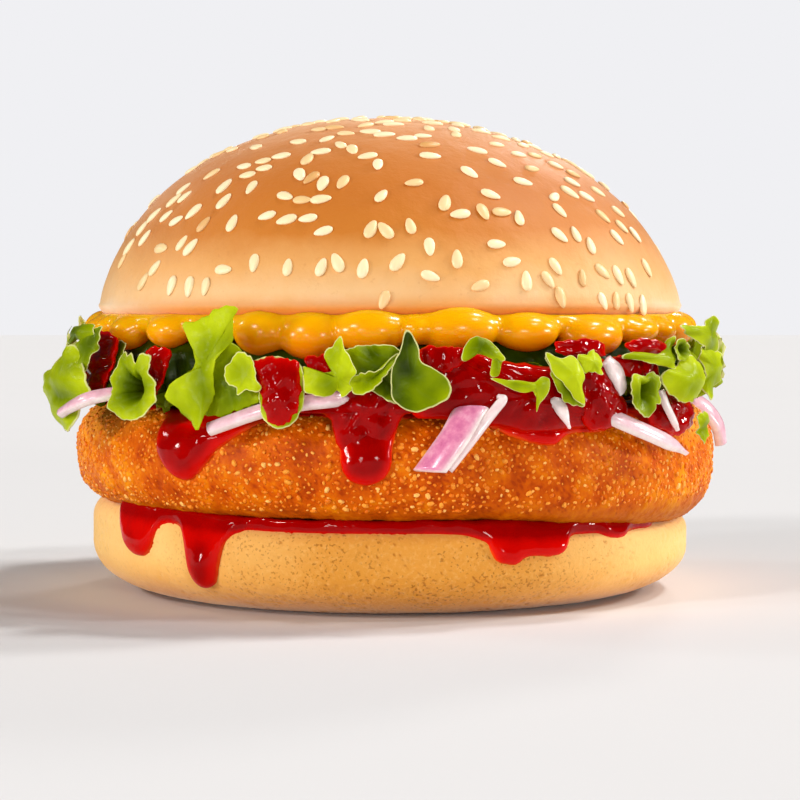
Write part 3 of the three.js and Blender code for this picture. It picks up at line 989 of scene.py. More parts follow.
@dataclass(frozen=True)
class BottomBun:
    """The heel of the bun."""

    foot_radius: float = 38
    foot_rise: float = 8
    radius: float = 52.3
    rim_round: float = 2.6
    left_lift: float = 2.0
    right_drop: float = 1.2
    columns: int = 760
    step: float = 0.42
    relief: Relief = Relief(8, 0.3, 0.8, 0.14, 0.85, 0.3, 0.5)

    def outline(self, top: float) -> np.ndarray:
        """Trace the heel from the middle of its top to the middle of its foot."""
        turn = np.linspace(0, math.pi / 2, 24)
        inner = self.radius - self.rim_round
        rim = [(inner + self.rim_round * math.sin(a), top - self.rim_round * (1 - math.cos(a))) for a in turn]
        foot = [(self.foot_radius + (self.radius - self.foot_radius) * math.cos(a),
                 self.foot_rise * (1 - math.sin(a))) for a in turn]
        side = thinned([(FLAT_MIDDLE, top), *rim, *foot, (30, 0)], self.step)
        return np.concatenate(([(0, top), (22, top)], side, [(15, 0), (0, 0)]))

    @staticmethod
    def uneven(bearing: np.ndarray) -> np.ndarray:
        """Waver with the bearing."""
        return uneven(bearing, 0.003, 0.8)

    def shape(self, bearing: np.ndarray, height: np.ndarray) -> tuple[np.ndarray, float]:
        """Waver with the bearing, and stand in the middle."""
        return self.uneven(bearing), 0.0

    def settled(self, points: np.ndarray) -> np.ndarray:
        """Tip the heel's top, which is thicker at the left."""
        top = Span.of("bottom_bun").high.z
        lift = self.left_lift * eased(-points[..., 0], 16, 50)
        lift = lift - self.right_drop * eased(points[..., 0], 10, 50)
        return points + (lift * np.clip(points[..., 2] / top, 0, 1) ** 2)[..., None] * (0, 0, 1)

    def build(self) -> None:
        """Make the heel, porous all over."""
        top = Span.of("bottom_bun").high.z
        skin = Loaf("bottom_bun_crumb", 0.0, top).material()
        heap = Turned(self.outline(top), self.columns, self.shape).heap()
        heap.points = [self.settled(points) for points in heap.points]
        base = heap.piece("heel_base", skin)
        made = self.relief.raise_on(base, "heel", skin)
        self.flatten(made)
        settle(made, "crumb", "bottom_bun")

    @staticmethod
    def flatten(piece: bpy.types.Object) -> None:
        """Keep the foot on the floor."""
        for vertex in piece.data.vertices:
            vertex.co.z = max(vertex.co.z, 0.0)


@dataclass(frozen=True)
class Sesame:
    """The sesame seeds: listed one by one at the front and scattered over the rest.

    A front seed is its x, its height above the floor, and the clock angle of its tip in degrees. The
    others keep a gap, which is less by the huddle where they crowd. They stay off the front up to the
    bare summit below the apex. The lift is how far a seed's middle stands off the crust.
    """

    front: Places = (
        (-22.5, 76, -80), (-15.2, 76.6, -80), (-17.8, 74, -100), (-20.8, 73.2, -100), (-20.5, 71.9, -95),
        (-24, 72.4, -90), (-23.2, 70.8, -100), (-29.6, 71.3, -150), (-27, 69, 10), (-26.8, 66.4, 15),
        (-22.3, 68.6, 180), (-16.6, 67, 110), (-34, 67.5, 30), (-36, 67, 25), (-34.5, 69, 20),
        (-37, 64.3, 40),
        (-35, 63.4, 60), (-39.5, 64.6, 30), (-32, 64.8, -150), (-30, 62.6, 20), (-25.1, 62.7, 0),
        (-19.4, 63.8, -110), (-16.2, 63.1, -110), (-41.5, 62.5, 20), (-40.7, 60.7, 20), (-43.8, 59.3, 20),
        (-44.9, 57, 15), (-33.6, 59.6, 20), (-32, 58.9, 30), (-37.3, 58.8, 90), (-38.2, 55.6, 35),
        (-40.2, 53.4, 30), (-35, 52.7, 185), (-31.9, 52.5, 175), (-29.1, 52.5, 180), (-26.2, 55.2, 90),
        (-21.2, 56.2, 175), (-15.8, 55.5, 0), (-13.3, 73.3, 0), (-12, 79, -85), (-9.3, 79.3, 90),
        (-10.3, 77, 30), (-7.2, 78, 100), (-11.2, 74.6, -100), (-8, 75.8, -40), (-6, 74.9, 160),
        (-14.4, 70.6, 150), (-12.5, 70, -150), (-10.6, 69, 180), (-7.4, 69.2, -165), (-13.8, 66.3, 90),
        (-10.8, 66.4, 80), (-12.8, 63.3, -100), (-10.3, 61.2, -110), (-3.2, 78.3, -80), (-0.8, 77.7, 80),
        (0.7, 79.9, 90), (2.9, 77, -90), (5.6, 77.5, 90), (6.7, 75.8, 80), (6.7, 73.8, 100), (11.2, 78, 30),
        (14.5, 75, -60), (-3.5, 73.7, -110), (-1.8, 72.2, 180), (4, 69.1, -100), (-1.2, 66.9, 30),
        (13, 71, 150), (16.3, 67.3, 120), (-2.8, 61.5, 20), (-0.5, 61.3, -35), (3.4, 62, -10),
        (8.9, 65.8, 20),
        (11.3, 64, -100), (15, 64.4, 170), (18, 64.4, 90), (6.4, 58.7, 180), (10.7, 56.8, 5), (17, 59.2, 90),
        (-10.5, 55.5, 15), (-8, 56.2, -25), (-4, 55.3, 10), (1.4, 56.3, 35), (6.5, 54.1, 110),
        (14.3, 52.6, -110), (-0.7, 50.4, -160), (18, 76.3, 100), (17.7, 72.8, 140), (22.8, 76.6, 90),
        (21.6, 74.6, 100), (24.5, 74.6, 100), (23.6, 72, 90), (21.8, 69.6, 110), (28, 73, 120),
        (31, 71.6, 120),
        (29.8, 68.1, 140), (32.8, 67.5, 125), (27, 67.2, 60), (27.7, 64.9, 160), (20.8, 63.5, 10),
        (27.4, 60.8, 140), (30.2, 61, 0), (32.7, 59.2, 10), (35.4, 64.2, 145), (38.5, 65.2, 130),
        (38.8, 62.6, 145), (37.6, 60.7, 150), (41.3, 61.3, 160), (19.4, 56.4, 80), (26.5, 55.7, 155),
        (21.7, 53.4, 5), (25.2, 53.6, 150), (27.2, 50.8, 170), (31, 53.9, 10), (34.5, 55, 130),
        (37.3, 54.4, 165), (39.7, 54, 165), (42.9, 55.7, 165), (34.4, 50.2, 160), (36.8, 50.3, 10),
        (39.3, 49.9, 175), (41.7, 49.6, 10), (30.5, 70, 130), (35.2, 68.6, 130))
    gap: float = 3.3
    huddle: float = 0.9
    lift: float = 0.12
    bare_summit: float = 4.0
    seed: int = 17
    tries: int = 900

    def build(self, surface: Callable[[np.ndarray, np.ndarray], np.ndarray], foot: float,
              apex: float) -> bpy.types.Object:
        """Set every seed.

        Args:
            surface: Gives the dome's points from bearings in radians and heights.
            foot: Height of the crown's rim.
            apex: Height of its top.

        Returns:
            One piece that holds all the seeds.
        """
        table = np.array(self.front, dtype=float)
        height, tip = table[:, 1], np.radians(table[:, 2])
        girth = np.linalg.norm(surface(np.zeros_like(height), height)[:, :2], axis=-1)
        lean = surface(np.zeros_like(height), height)[:, 0]
        bearing = np.arcsin(np.clip((table[:, 0] - lean) / girth, -0.995, 0.995))
        draw = np.random.default_rng(self.seed)
        spots = list(surface(bearing, height))
        bearings, heights, tips = list(bearing), list(height), list(tip)
        patchy = ripple(7, draw.uniform(0, 9, self.tries), draw.uniform(0, 9, self.tries))
        for keep in patchy:
            turn = draw.uniform(0, 2 * math.pi)
            high = foot + (apex - foot) * math.sin(draw.uniform(0.07, 0.96) ** 0.8 * math.pi / 2)
            spot = surface(np.array([turn]), np.array([high]))[0]
            front = spot[1] < -3 - 0.8 * max(high - 62, 0) and high < apex - self.bare_summit
            nearest = min(np.linalg.norm(np.array(spots) - spot, axis=-1))
            crowded = nearest < self.gap - self.huddle * (keep > 0.5)
            if not (front or crowded):
                spots.append(spot)
                bearings.append(turn)
                heights.append(high)
                tips.append(draw.uniform(0, 2 * math.pi))
        bearing, height, tip = np.array(bearings), np.array(heights), np.array(tips)
        spot = surface(bearing, height)
        right = unit(surface(bearing + 0.01, height) - spot)
        rise = unit(surface(bearing, height + 0.01) - spot)
        out = unit(np.cross(right, rise))
        rise = np.cross(out, right)
        point = rise * np.cos(tip)[:, None] + right * np.sin(tip)[:, None]
        mesh = bpy.data.meshes.new("seed_places")
        mesh.from_pydata(((spot + out * self.lift) * MM).tolist(), [], [])
        for name, vectors in {"out": out, "back": -point}.items():
            layer = mesh.attributes.new(name, "FLOAT_VECTOR", "POINT")
            layer.data.foreach_set("vector", vectors.astype(np.float32).ravel())
        return self.plant(placed("seed_places", mesh))

    def plant(self, base: bpy.types.Object) -> bpy.types.Object:
        """Put a seed on each point of a cloud that knows which way is out and back."""
        grain = seed_grain()
        tree = Recipe("sesame_setting", {"Smallest": 0.86, "Largest": 1.06, "Seed": self.seed})
        vector = {"data_type": "FLOAT_VECTOR"}
        out, back = (tree.node("GeometryNodeInputNamedAttribute", vector, {"Name": name})
                     for name in ("out", "back"))
        turn = tree.node("FunctionNodeAxesToRotation", {"primary_axis": "Z", "secondary_axis": "X"},
                         {0: out, 1: back})
        grains = tree.planted(tree.base, grain, turn, tree.size("Seed"))
        tree.close(tree.toasted(grains), SeedSkin("sesame").material())
        made = tree.bake(base, "sesame_seeds")
        bpy.data.objects.remove(grain)
        return made


@dataclass(frozen=True)
class TopBun:
    """The crown of the bun and its sesame seeds."""

    radius: float = 51.3
    rim_round: float = 2.6
    lean: float = -1.3
    pinch: float = 0.022
    columns: int = 600
    step: float = 0.62
    relief: Relief = Relief(9, 0.5, 1.6, 0.07, 2.4, 0.0, 0.0)

    def outline(self, foot: float, apex: float) -> np.ndarray:
        """Trace the crown from its apex to the middle of its underside."""
        turn = np.linspace(math.pi / 2, 0.02, 160)
        share = np.sin(turn)
        bulge = np.cos(turn) * (1 - self.pinch * np.sin(math.pi * share))
        dome = np.stack((self.radius * bulge, foot + (apex - foot) * share), axis=-1)
        under = [(self.radius - self.rim_round * (1 - math.cos(a)), foot + self.rim_round * (1 - math.sin(a)))
                 for a in np.linspace(0.2, math.pi / 2, 10)]
        dome = dome[dome[:, 1] > under[0][1]]
        side = thinned([*map(tuple, dome[1:]), *under, (FLAT_MIDDLE, foot)], self.step)
        return np.concatenate(([(0, apex)], side, [(22, foot), (0, foot)]))

    def build(self) -> None:
        """Make the crown and scatter its seeds."""
        span = Span.of("top_bun")
        foot, apex = span.low.z, span.high.z

        def shape(bearing: np.ndarray, height: np.ndarray) -> tuple[np.ndarray, np.ndarray]:
            """Waver most at the rim and lean at the top."""
            share = np.clip((height - foot) / (apex - foot), 0, 1)
            return uneven(bearing, 0.004, 2.2) * (1 - share) + share, self.lean * share ** 2

        def surface(bearing: np.ndarray, height: np.ndarray) -> np.ndarray:
            """Give the points of the dome."""
            share = np.clip((height - foot) / (apex - foot), 0, 0.9995)
            bulge = np.sqrt(1 - share ** 2) * (1 - self.pinch * np.sin(math.pi * share))
            factor, lean = shape(bearing, height)
            spot = around(bearing, self.radius * bulge * factor, height)
            spot[..., 0] += lean
            return spot

        skin = Crust("top_bun_crust", foot, apex).material()
        base = Turned(self.outline(foot, apex), self.columns, shape).heap().piece("crown_base", skin)
        crown = self.relief.raise_on(base, "crown", skin)
        seeds = Sesame().build(surface, foot, apex)
        settle(crown, "crust", "top_bun")
        settle(seeds, "crust")


@dataclass(frozen=True)
class Patty:
    """The breaded patty and its loose crumbs."""

    radius: float = 56.0
    edge_round: float = 8
    power: float = 2.4
    shift: float = 0.7
    columns: int = 830
    step: float = 0.42
    relief: Relief = Relief(5, 0.8, 0.9, 0.3, 0.9, -0.14, 0.7)
    right_sag: float = 3.0
    crumbs: tuple[Scatter, ...] = (
        Scatter("patty_crumbs", 1.4, 0.6, 1.3, -0.02, 5, 5.0, 0.6),
        Scatter("patty_grains", 0.88, 0.36, 0.8, -0.02, 9, 6.0, 0.8))

    def edge(self, foot: float, top: float, count: int = 90) -> np.ndarray:
        """Trace the rounded side from its top to its foot, as radius and height pairs."""
        turn = np.linspace(0, math.pi, count)
        off = np.cos(turn)
        lift = np.sign(off) * np.abs(off) ** (2 / self.power)
        out = np.maximum(1 - np.abs(lift) ** self.power, 0) ** (1 / self.power)
        middle, half = (top + foot) / 2, (top - foot) / 2
        return np.stack((self.radius - self.edge_round * (1 - out), middle + half * lift), axis=-1)

    @staticmethod
    def uneven(bearing: np.ndarray) -> np.ndarray:
        """Waver with the bearing."""
        return uneven(bearing, 0.006, 1.3)

    def shape(self, bearing: np.ndarray, height: np.ndarray) -> tuple[np.ndarray, float]:
        """Waver with the bearing, and sit a little to the right."""
        return self.uneven(bearing), self.shift

    def settled(self, points: np.ndarray) -> np.ndarray:
        """Let the right side's lower edge sag."""
        span = Span.of("patty")
        low = np.clip((span.high.z - points[..., 2]) / span.height, 0, 1) ** 1.6
        return points - (self.right_sag * eased(points[..., 0], 10, 50) * low)[..., None] * (0, 0, 1)

    def build(self) -> None:
        """Make the rough patty and its crumbs."""
        span = Span.of("patty")
        foot, top = span.low.z, span.high.z
        edge = map(tuple, self.edge(foot, top))
        side = thinned([(FLAT_MIDDLE, top), *edge, (FLAT_MIDDLE, foot)], self.step)
        outline = np.concatenate(([(0, top), (22, top)], side, [(22, foot), (0, foot)]))
        skin = Breading("patty_breading").material()
        heap = Turned(outline, self.columns, self.shape).heap()
        heap.points = [self.settled(points) for points in heap.points]
        base = heap.piece("patty_base", skin)
        patty = self.relief.raise_on(base, "breaded_patty", skin)
        grain, crisp = crumb_grain(), GoldenCrumb("golden_crumb").material()
        loose = [crumbs.spread(patty, grain, foot + 1.5, crisp) for crumbs in self.crumbs]
        bpy.data.objects.remove(grain)
        settle(patty, "breading", "patty")
        for crumbs in loose:
            settle(crumbs, "breading")


# ---- Liquids -------------------------------------------------------------------------------------


class Vat:
    """Liquid as a field on a grid: below 0 inside. Its first axis may close round the burger."""

    def __init__(self, low: Places, high: Places, step: float, girth: float = 0.0) -> None:
        """Make an empty vat.

        Args:
            low: Lowest corner.
            high: Highest corner.
            step: Spacing of the grid.
            girth: Length of the first axis where it closes round, or 0.
        """
        self.low, self.step = np.array(low, dtype=float), np.full(3, step)
        reach = np.array(high, dtype=float) - self.low
        count = np.ceil(reach / step).astype(int) + 1
        self.closed = girth > 0
        if self.closed:
            count[0] = round(girth / step)
            self.step[0] = girth / count[0]
        self.values = np.full(count, OPEN_AIR)

    def blend(self, low: Sequence[float], high: Sequence[float], soft: float,
              distance: Callable[[np.ndarray, np.ndarray, np.ndarray], np.ndarray]) -> None:
        """Melt a shape into the liquid.

        Args:
            low: Lowest corner that it can reach.
            high: Highest corner.
            soft: How far it melts together with the rest.
            distance: Gives the distance to the shape from coordinate arrays.
        """
        ranges = []
        for axis in range(3):
            first = math.floor((low[axis] - soft - self.low[axis]) / self.step[axis])
            last = math.ceil((high[axis] + soft - self.low[axis]) / self.step[axis])
            if not (self.closed and axis == 0):
                first, last = max(first, 0), min(last, self.values.shape[axis] - 1)
            if last - first >= self.values.shape[axis]:
                first, last = 0, self.values.shape[axis] - 1
            if last < first:
                return
            ranges.append(np.arange(first, last + 1))
        spots = np.meshgrid(*(self.low[i] + ranges[i] * self.step[i] for i in range(3)), indexing="ij")
        part = np.ix_(ranges[0] % self.values.shape[0], ranges[1], ranges[2])
        old, new = self.values[part], distance(*spots)
        near = np.clip(soft - np.abs(old - new), 0, None) / soft
        self.values[part] = np.minimum(old, new) - near ** 2 * soft / 4

    def lump(self, middle: Sequence[float], half: Sequence[float], soft: float = 1.5) -> None:
        """Melt in an ellipsoid, given its middle and half sizes."""
        centre, size = np.array(middle, dtype=float), np.array(half, dtype=float)

        def distance(x: np.ndarray, y: np.ndarray, z: np.ndarray) -> np.ndarray:
            """Give the distance to the ellipsoid."""
            offset = np.stack((x, y, z), axis=-1) - centre
            inner = np.linalg.norm(offset / size, axis=-1)
            slope = np.linalg.norm(offset / size ** 2, axis=-1)
            return inner * (inner - 1) / np.maximum(slope, 1e-6)

        self.blend(centre - size, centre + size, soft, distance)

    def skin(self) -> tuple[np.ndarray, np.ndarray]:
        """Find the liquid's surface.

        Returns:
            Points in the vat's own coordinates, and quads that face out where those coordinates
            are right-handed.
        """
        values = np.concatenate((self.values, self.values[:1])) if self.closed else self.values
        inside = values < 0
        size = np.array(values.shape) - 1
        corners = [np.array((i, j, k)) for i in (0, 1) for j in (0, 1) for k in (0, 1)]
        count = sum(inside[i:i + size[0], j:j + size[1], k:k + size[2]].astype(np.int8)
                    for i, j, k in corners)
        live = (count > 0) & (count < 8)
        cells = np.argwhere(live)
        number = np.zeros(live.shape, dtype=np.int64)
        number[live] = np.arange(len(cells))
        total, hits = np.zeros((len(cells), 3)), np.zeros(len(cells))
        quads = []
        for axis in range(3):
            along = np.eye(3, dtype=int)[axis]
            one, two = np.eye(3, dtype=int)[(axis + 1) % 3], np.eye(3, dtype=int)[(axis + 2) % 3]
            for corner in (one * 0, one, two, one + two):
                near = values[tuple((cells + corner).T)]
                far = values[tuple((cells + corner + along).T)]
                crossed = (near < 0) != (far < 0)
                share = np.where(crossed, near / np.where(crossed, near - far, 1), 0)
                total += np.where(crossed[:, None], corner + share[:, None] * along, 0)
                hits += crossed
            first, last = np.ones(3, dtype=int), size.copy()
            first[axis] = 0
            if self.closed:
                first[0] = 0
            near = inside[tuple(slice(f, l) for f, l in zip(first, last))]
            far = inside[tuple(slice(f + s, l + s) for f, l, s in zip(first, last, along))]
            edges = np.argwhere(near != far) + first
            ring = np.stack([edges, edges - one, edges - one - two, edges - two], axis=1)
            if self.closed:
                ring[..., 0] %= size[0]
            made = number[tuple(np.moveaxis(ring, -1, 0))]
            out = near[tuple((edges - first).T)]
            quads.append(np.where(out[:, None], made, made[:, ::-1]))
        spots = cells + total / hits[:, None]
        return self.smoothed(self.low + spots * self.step, np.concatenate(quads)), np.concatenate(quads)

    def smoothed(self, points: np.ndarray, quads: np.ndarray, rounds: int = 3) -> np.ndarray:
        """Even out the steps of the grid.

        Args:
            points: The surface's points.
            quads: Its quads.
            rounds: How often each point moves towards its neighbours.

        Returns:
            The moved points.
        """
        ends = np.concatenate([quads[:, [i, (i + 1) % 4]] for i in range(4)])
        wrap = self.step[0] * self.values.shape[0] if self.closed else math.inf
        for turn in range(rounds):
            step = points[ends[:, 1]] - points[ends[:, 0]]
            if self.closed:
                step[:, 0] -= wrap * np.round(step[:, 0] / wrap)
            count = np.bincount(ends[:, 0], minlength=len(points))[:, None]
            pull = np.stack([np.bincount(ends[:, 0], step[:, i], len(points)) for i in range(3)], axis=-1)
            points = points + 0.5 * pull / np.maximum(count, 1)
        return points


class Wall:
    """The outside of a round layer, unrolled into along, down and off, in mm."""

    def __init__(self, path: np.ndarray, outline: Callable[[np.ndarray], np.ndarray]) -> None:
        """Keep the path.

        Args:
            path: Radius and height pairs from the inside out and down.
            outline: The layer's waver, by bearing in radians.
        """
        self.path, self.outline = path, outline
        self.down = np.concatenate(([0], np.cumsum(np.hypot(*np.diff(path, axis=0).T))))
        slope = unit(np.gradient(path, axis=0))
        self.out = np.stack((-slope[:, 1], slope[:, 0]), axis=-1)
        self.reach = float(path[:, 0].max())

    @property
    def girth(self) -> float:
        """The length once round."""
        return 2 * math.pi * self.reach

    def down_at(self, height: float) -> float:
        """Give how far down the wall a height lies, or where it leaves the flat for a greater one."""
        brim = np.flatnonzero(self.path[:, 1] > self.path[0, 1] - 0.01)[-1]
        return float(np.interp(-height, -self.path[brim:, 1], self.down[brim:]))

    def place(self, along: np.ndarray, down: np.ndarray, off: np.ndarray) -> np.ndarray:
        """Turn unrolled coordinates into points."""
        bearing = along / self.reach
        radius, height, out, up = (np.interp(down, self.down, column)
                                   for column in (*self.path.T, *self.out.T))
        return around(bearing, (radius + off * out) * self.outline(bearing), height + off * up)


@dataclass(frozen=True)
class Drip:
    """A run of sauce round the back: its bearing, half width and how low it hangs."""

    at: float
    half: float
    to: float

    def knots(self, reach: float, brim: float) -> list[tuple[float, float]]:
        """Trace the run's edge as bearing and height pairs, on a wall of a radius."""
        wide = math.degrees(self.half / reach)
        shape = ((-1.8, 0.0), (-1.2, 0.16), (-0.98, 0.55), (-0.7, 0.9), (0.0, 1.0),
                 (0.7, 0.9), (0.98, 0.55), (1.2, 0.16), (1.8, 0.0))
        return [(self.at + step * wide, brim + (self.to - brim) * drop) for step, drop in shape]


@dataclass(frozen=True)
class Pour:
    """A layer of chilli sauce: the edge that it runs down to, as bearing and height pairs.

    The front of the edge is listed, and the rest is a brim with runs.
    """

    name: str
    node: str
    front: tuple[tuple[float, float], ...]
    runs: tuple[Drip, ...]
    brim: float
    film: float
    dome: float
    bead: float
    bead_radius: float

    def line(self, wall: Wall) -> np.ndarray:
        """Trace the edge once round the wall, as along and down."""
        knots = list(self.front)
        for run in self.runs:
            knots += run.knots(wall.reach, self.brim)
        table = np.array(sorted(knots))
        table = np.concatenate((table[-3:] - (360, 0), table, table[:3] + (360, 0)))
        downs = [wall.down_at(z) for z in table[:, 1]]
        path = np.stack((np.radians(table[:, 0]) * wall.reach, downs), axis=-1)
        path[:, 1] -= np.clip(table[:, 1] - wall.path[0, 1], 0, None)
        path = curve(path, np.linspace(0, 1, 9 * len(path)))
        path[:, 0] = np.maximum.accumulate(path[:, 0])
        return thinned(path, 0.2)

    @staticmethod
    def depth_inside(line: np.ndarray, along: np.ndarray, down: np.ndarray) -> np.ndarray:
        """Give how far places lie above the edge, below 0 where they are past it."""
        gap = np.full(along.shape, BEYOND)
        for first in range(0, len(along), 24):
            part = slice(first, first + 24)
            middle = along[part].mean()
            near = line[np.abs(line[:, 0] - middle) < SEARCH]
            offset = np.hypot(along[part, :, None] - near[:, 0], down[part, :, None] - near[:, 1])
            gap[part] = offset.min(axis=-1)
        return np.where(down < np.interp(along, *line.T), gap, -gap)

    def build(self, wall: Wall, step: float, material: bpy.types.Material,
              settled: Callable[[np.ndarray], np.ndarray]) -> None:
        """Pour the layer over a wall.

        Args:
            wall: The wall it runs down.
            step: Spacing of the grid.
            material: Its finish.
            settled: Moves its points with the layer below.
        """
        vat = Vat((-wall.girth / 2, -1, -1.2), (0, wall.down[-1], 3.8), step, wall.girth)
        line = self.line(wall)
        brim = wall.down_at(self.brim)
        start = len(wall.path) // 3
        mouth = float(np.interp(self.bead_radius, wall.path[:start, 0], wall.down[:start]))

        def sheet(along: np.ndarray, down: np.ndarray, off: np.ndarray) -> np.ndarray:
            """Give the distance to the layer."""
            inside = self.depth_inside(line, along[..., 0], down[..., 0])
            waves = 0.5 * ripple(31, along[..., 0] / 4, down[..., 0] / 4)
            hang = eased(down[..., 0] - brim, 0.5, 5.5)
            rounded = np.sqrt(1 - (1 - np.clip(inside / (1.8 + 2.0 * hang), 0, 1)) ** 2)
            thick = self.film + (self.dome - self.film) * hang * (1 + 0.3 * waves)
            swell = self.bead * np.exp(-((down[..., 0] - mouth) / 1.5) ** 2) * (1 + 0.25 * waves)
            top = (thick * rounded + swell * np.clip(inside / 0.6, 0, 1))[..., None]
            return np.maximum(np.maximum(off - top, -off - 0.8), -inside[..., None])

        vat.blend((-wall.girth / 2, -1, -1.2), (wall.girth / 2, wall.down[-1], 3.8), 0.01, sheet)
        points, quads = vat.skin()
        heap = Heap()
        # Painted shade: the depth is raised near the mouth, under the layer above, to darken the sauce there.
        shade = points[:, 2] + 1.2 * np.exp(-((points[:, 1] - mouth) / 2.5) ** 2)
        heap.add(settled(wall.place(*points.T)), quads[:, ::-1], depth=shade)
        settle(heap.piece(self.name, material), "chilli_sauce", self.node)


@dataclass(frozen=True)
class Patch:
    """A lobe or a pool as it is seen from the front.

    The outline holds x and height pairs. The heart is the place that its folds run to, and reach is
    how far from the axis it stands. The belly is how far the heart stands out from the rim, and the
    slope how far the surface comes forward for each mm to the right and up.
    """

    outline: tuple[tuple[float, float], ...]
    heart: tuple[float, float]
    reach: float = 60.0
    belly: float = 1.2
    slope: tuple[float, float] = (0.0, -0.15)

    def grid(self, rings: int, columns: int, waver: float, seed: int) -> tuple[np.ndarray, ...]:
        """Spread rings from the heart to the outline.

        Args:
            rings: Rings, the last on the outline.
            columns: Points in a ring.
            waver: How far the outline is nibbled, in mm.
            seed: Which nibble it is.

        Returns:
            The share of the way to the rim, the turn, and x, height and radius, each by ring
            and column.
        """
        corners = np.array(self.outline + self.outline[:3], dtype=float)
        centre = np.array(self.heart, dtype=float)
        line = curve(corners, np.linspace(0, 1, 12 * len(corners)) * (len(self.outline) / (len(corners) - 1))
                     + 1 / (len(corners) - 1))
        rim = thinned(line, float(np.linalg.norm(np.diff(line, axis=0), axis=-1).sum()) / columns)[:-1]
        if np.sum(rim[:, 0] * np.roll(rim[:, 1], -1) - rim[:, 1] * np.roll(rim[:, 0], -1)) < 0:
            rim = rim[::-1]
        turn = np.linspace(0, 2 * math.pi, len(rim), endpoint=False)[None, :]
        share = (np.linspace(0, 1, rings + 1)[1:] ** 0.85)[:, None]
        away = rim - centre
        far = np.linalg.norm(away, axis=-1)
        nibble = waver * ripple(seed, far.sum() / len(far) * np.cos(turn[0]) * 1.2,
                                far.mean() * np.sin(turn[0]) * 1.2)
        place = centre + share[..., None] * away * (1 + share[..., None] ** 4 * (nibble / far)[None, :, None])
        x, z = place[..., 0], place[..., 1]
        offset = (self.belly * (1 - share ** 2) + self.slope[0] * (x - centre[0])
                  + self.slope[1] * (z - centre[1]))
        return np.broadcast_to(share, x.shape), np.broadcast_to(turn, x.shape), x, z, self.reach + offset

    def points(self, x: np.ndarray, z: np.ndarray, radius: np.ndarray) -> np.ndarray:
        """Place x, height and radius in space."""
        bearing = np.arcsin(np.clip(x / self.reach, -0.999, 0.999))
        return around(bearing, radius, z)

    @staticmethod
    def close(heap: Heap, front: np.ndarray, back: np.ndarray, **values: np.ndarray) -> None:
        """Close two grids of rings into one body.

        Args:
            heap: The heap it goes on.
            front: Points of the outer grid, by ring and column.
            back: Points of the inner grid.
            **values: Numbers of the grid's shape, used on both.
        """
        rings, columns = front.shape[:2]
        count = rings * columns
        quads = grid_quads(rings, columns, True)
        step, after = np.arange(columns), (np.arange(columns) + 1) % columns
        last = count - columns
        hearts = [front[0].mean(axis=0), back[0].mean(axis=0)]
        points = np.concatenate((front.reshape(-1, 3), back.reshape(-1, 3), hearts))
        near, far = np.full(columns, 2 * count), np.full(columns, 2 * count + 1)
        doubled = {name: np.concatenate((numbers.ravel(), numbers.ravel(), [numbers[0].mean()] * 2))
                   for name, numbers in values.items()}
        heap.add(points, quads, quads[:, ::-1] + count, np.stack((near, step, after), axis=-1),
                 np.stack((far, count + after, count + step), axis=-1),
                 np.stack((last + after, last + step, count + last + step, count + last + after), axis=-1),
                 **doubled)


@dataclass(frozen=True)
class Pool(Patch):
    """Sauce lying on the leaves, domed and thick."""

    thick: float = 1.6

    def add_to(self, heap: Heap, number: int) -> None:
        """Put the pool on a heap."""
        share, turn, x, z, radius = self.grid(14, 64, 0.25, number + 40)
        dome = np.sqrt(np.clip(1 - share ** 3, 0, 1))
        lumps = 0.4 * ripple(number, x / 1.7, z / 1.7) * dome
        front = self.points(x, z, radius + self.thick * dome + lumps)
        back = self.points(x, z, radius - 1.2 * dome - 0.1)
        self.close(heap, front, back, depth=0.9 + 1.0 * dome)


# ---- Layers --------------------------------------------------------------------------------------


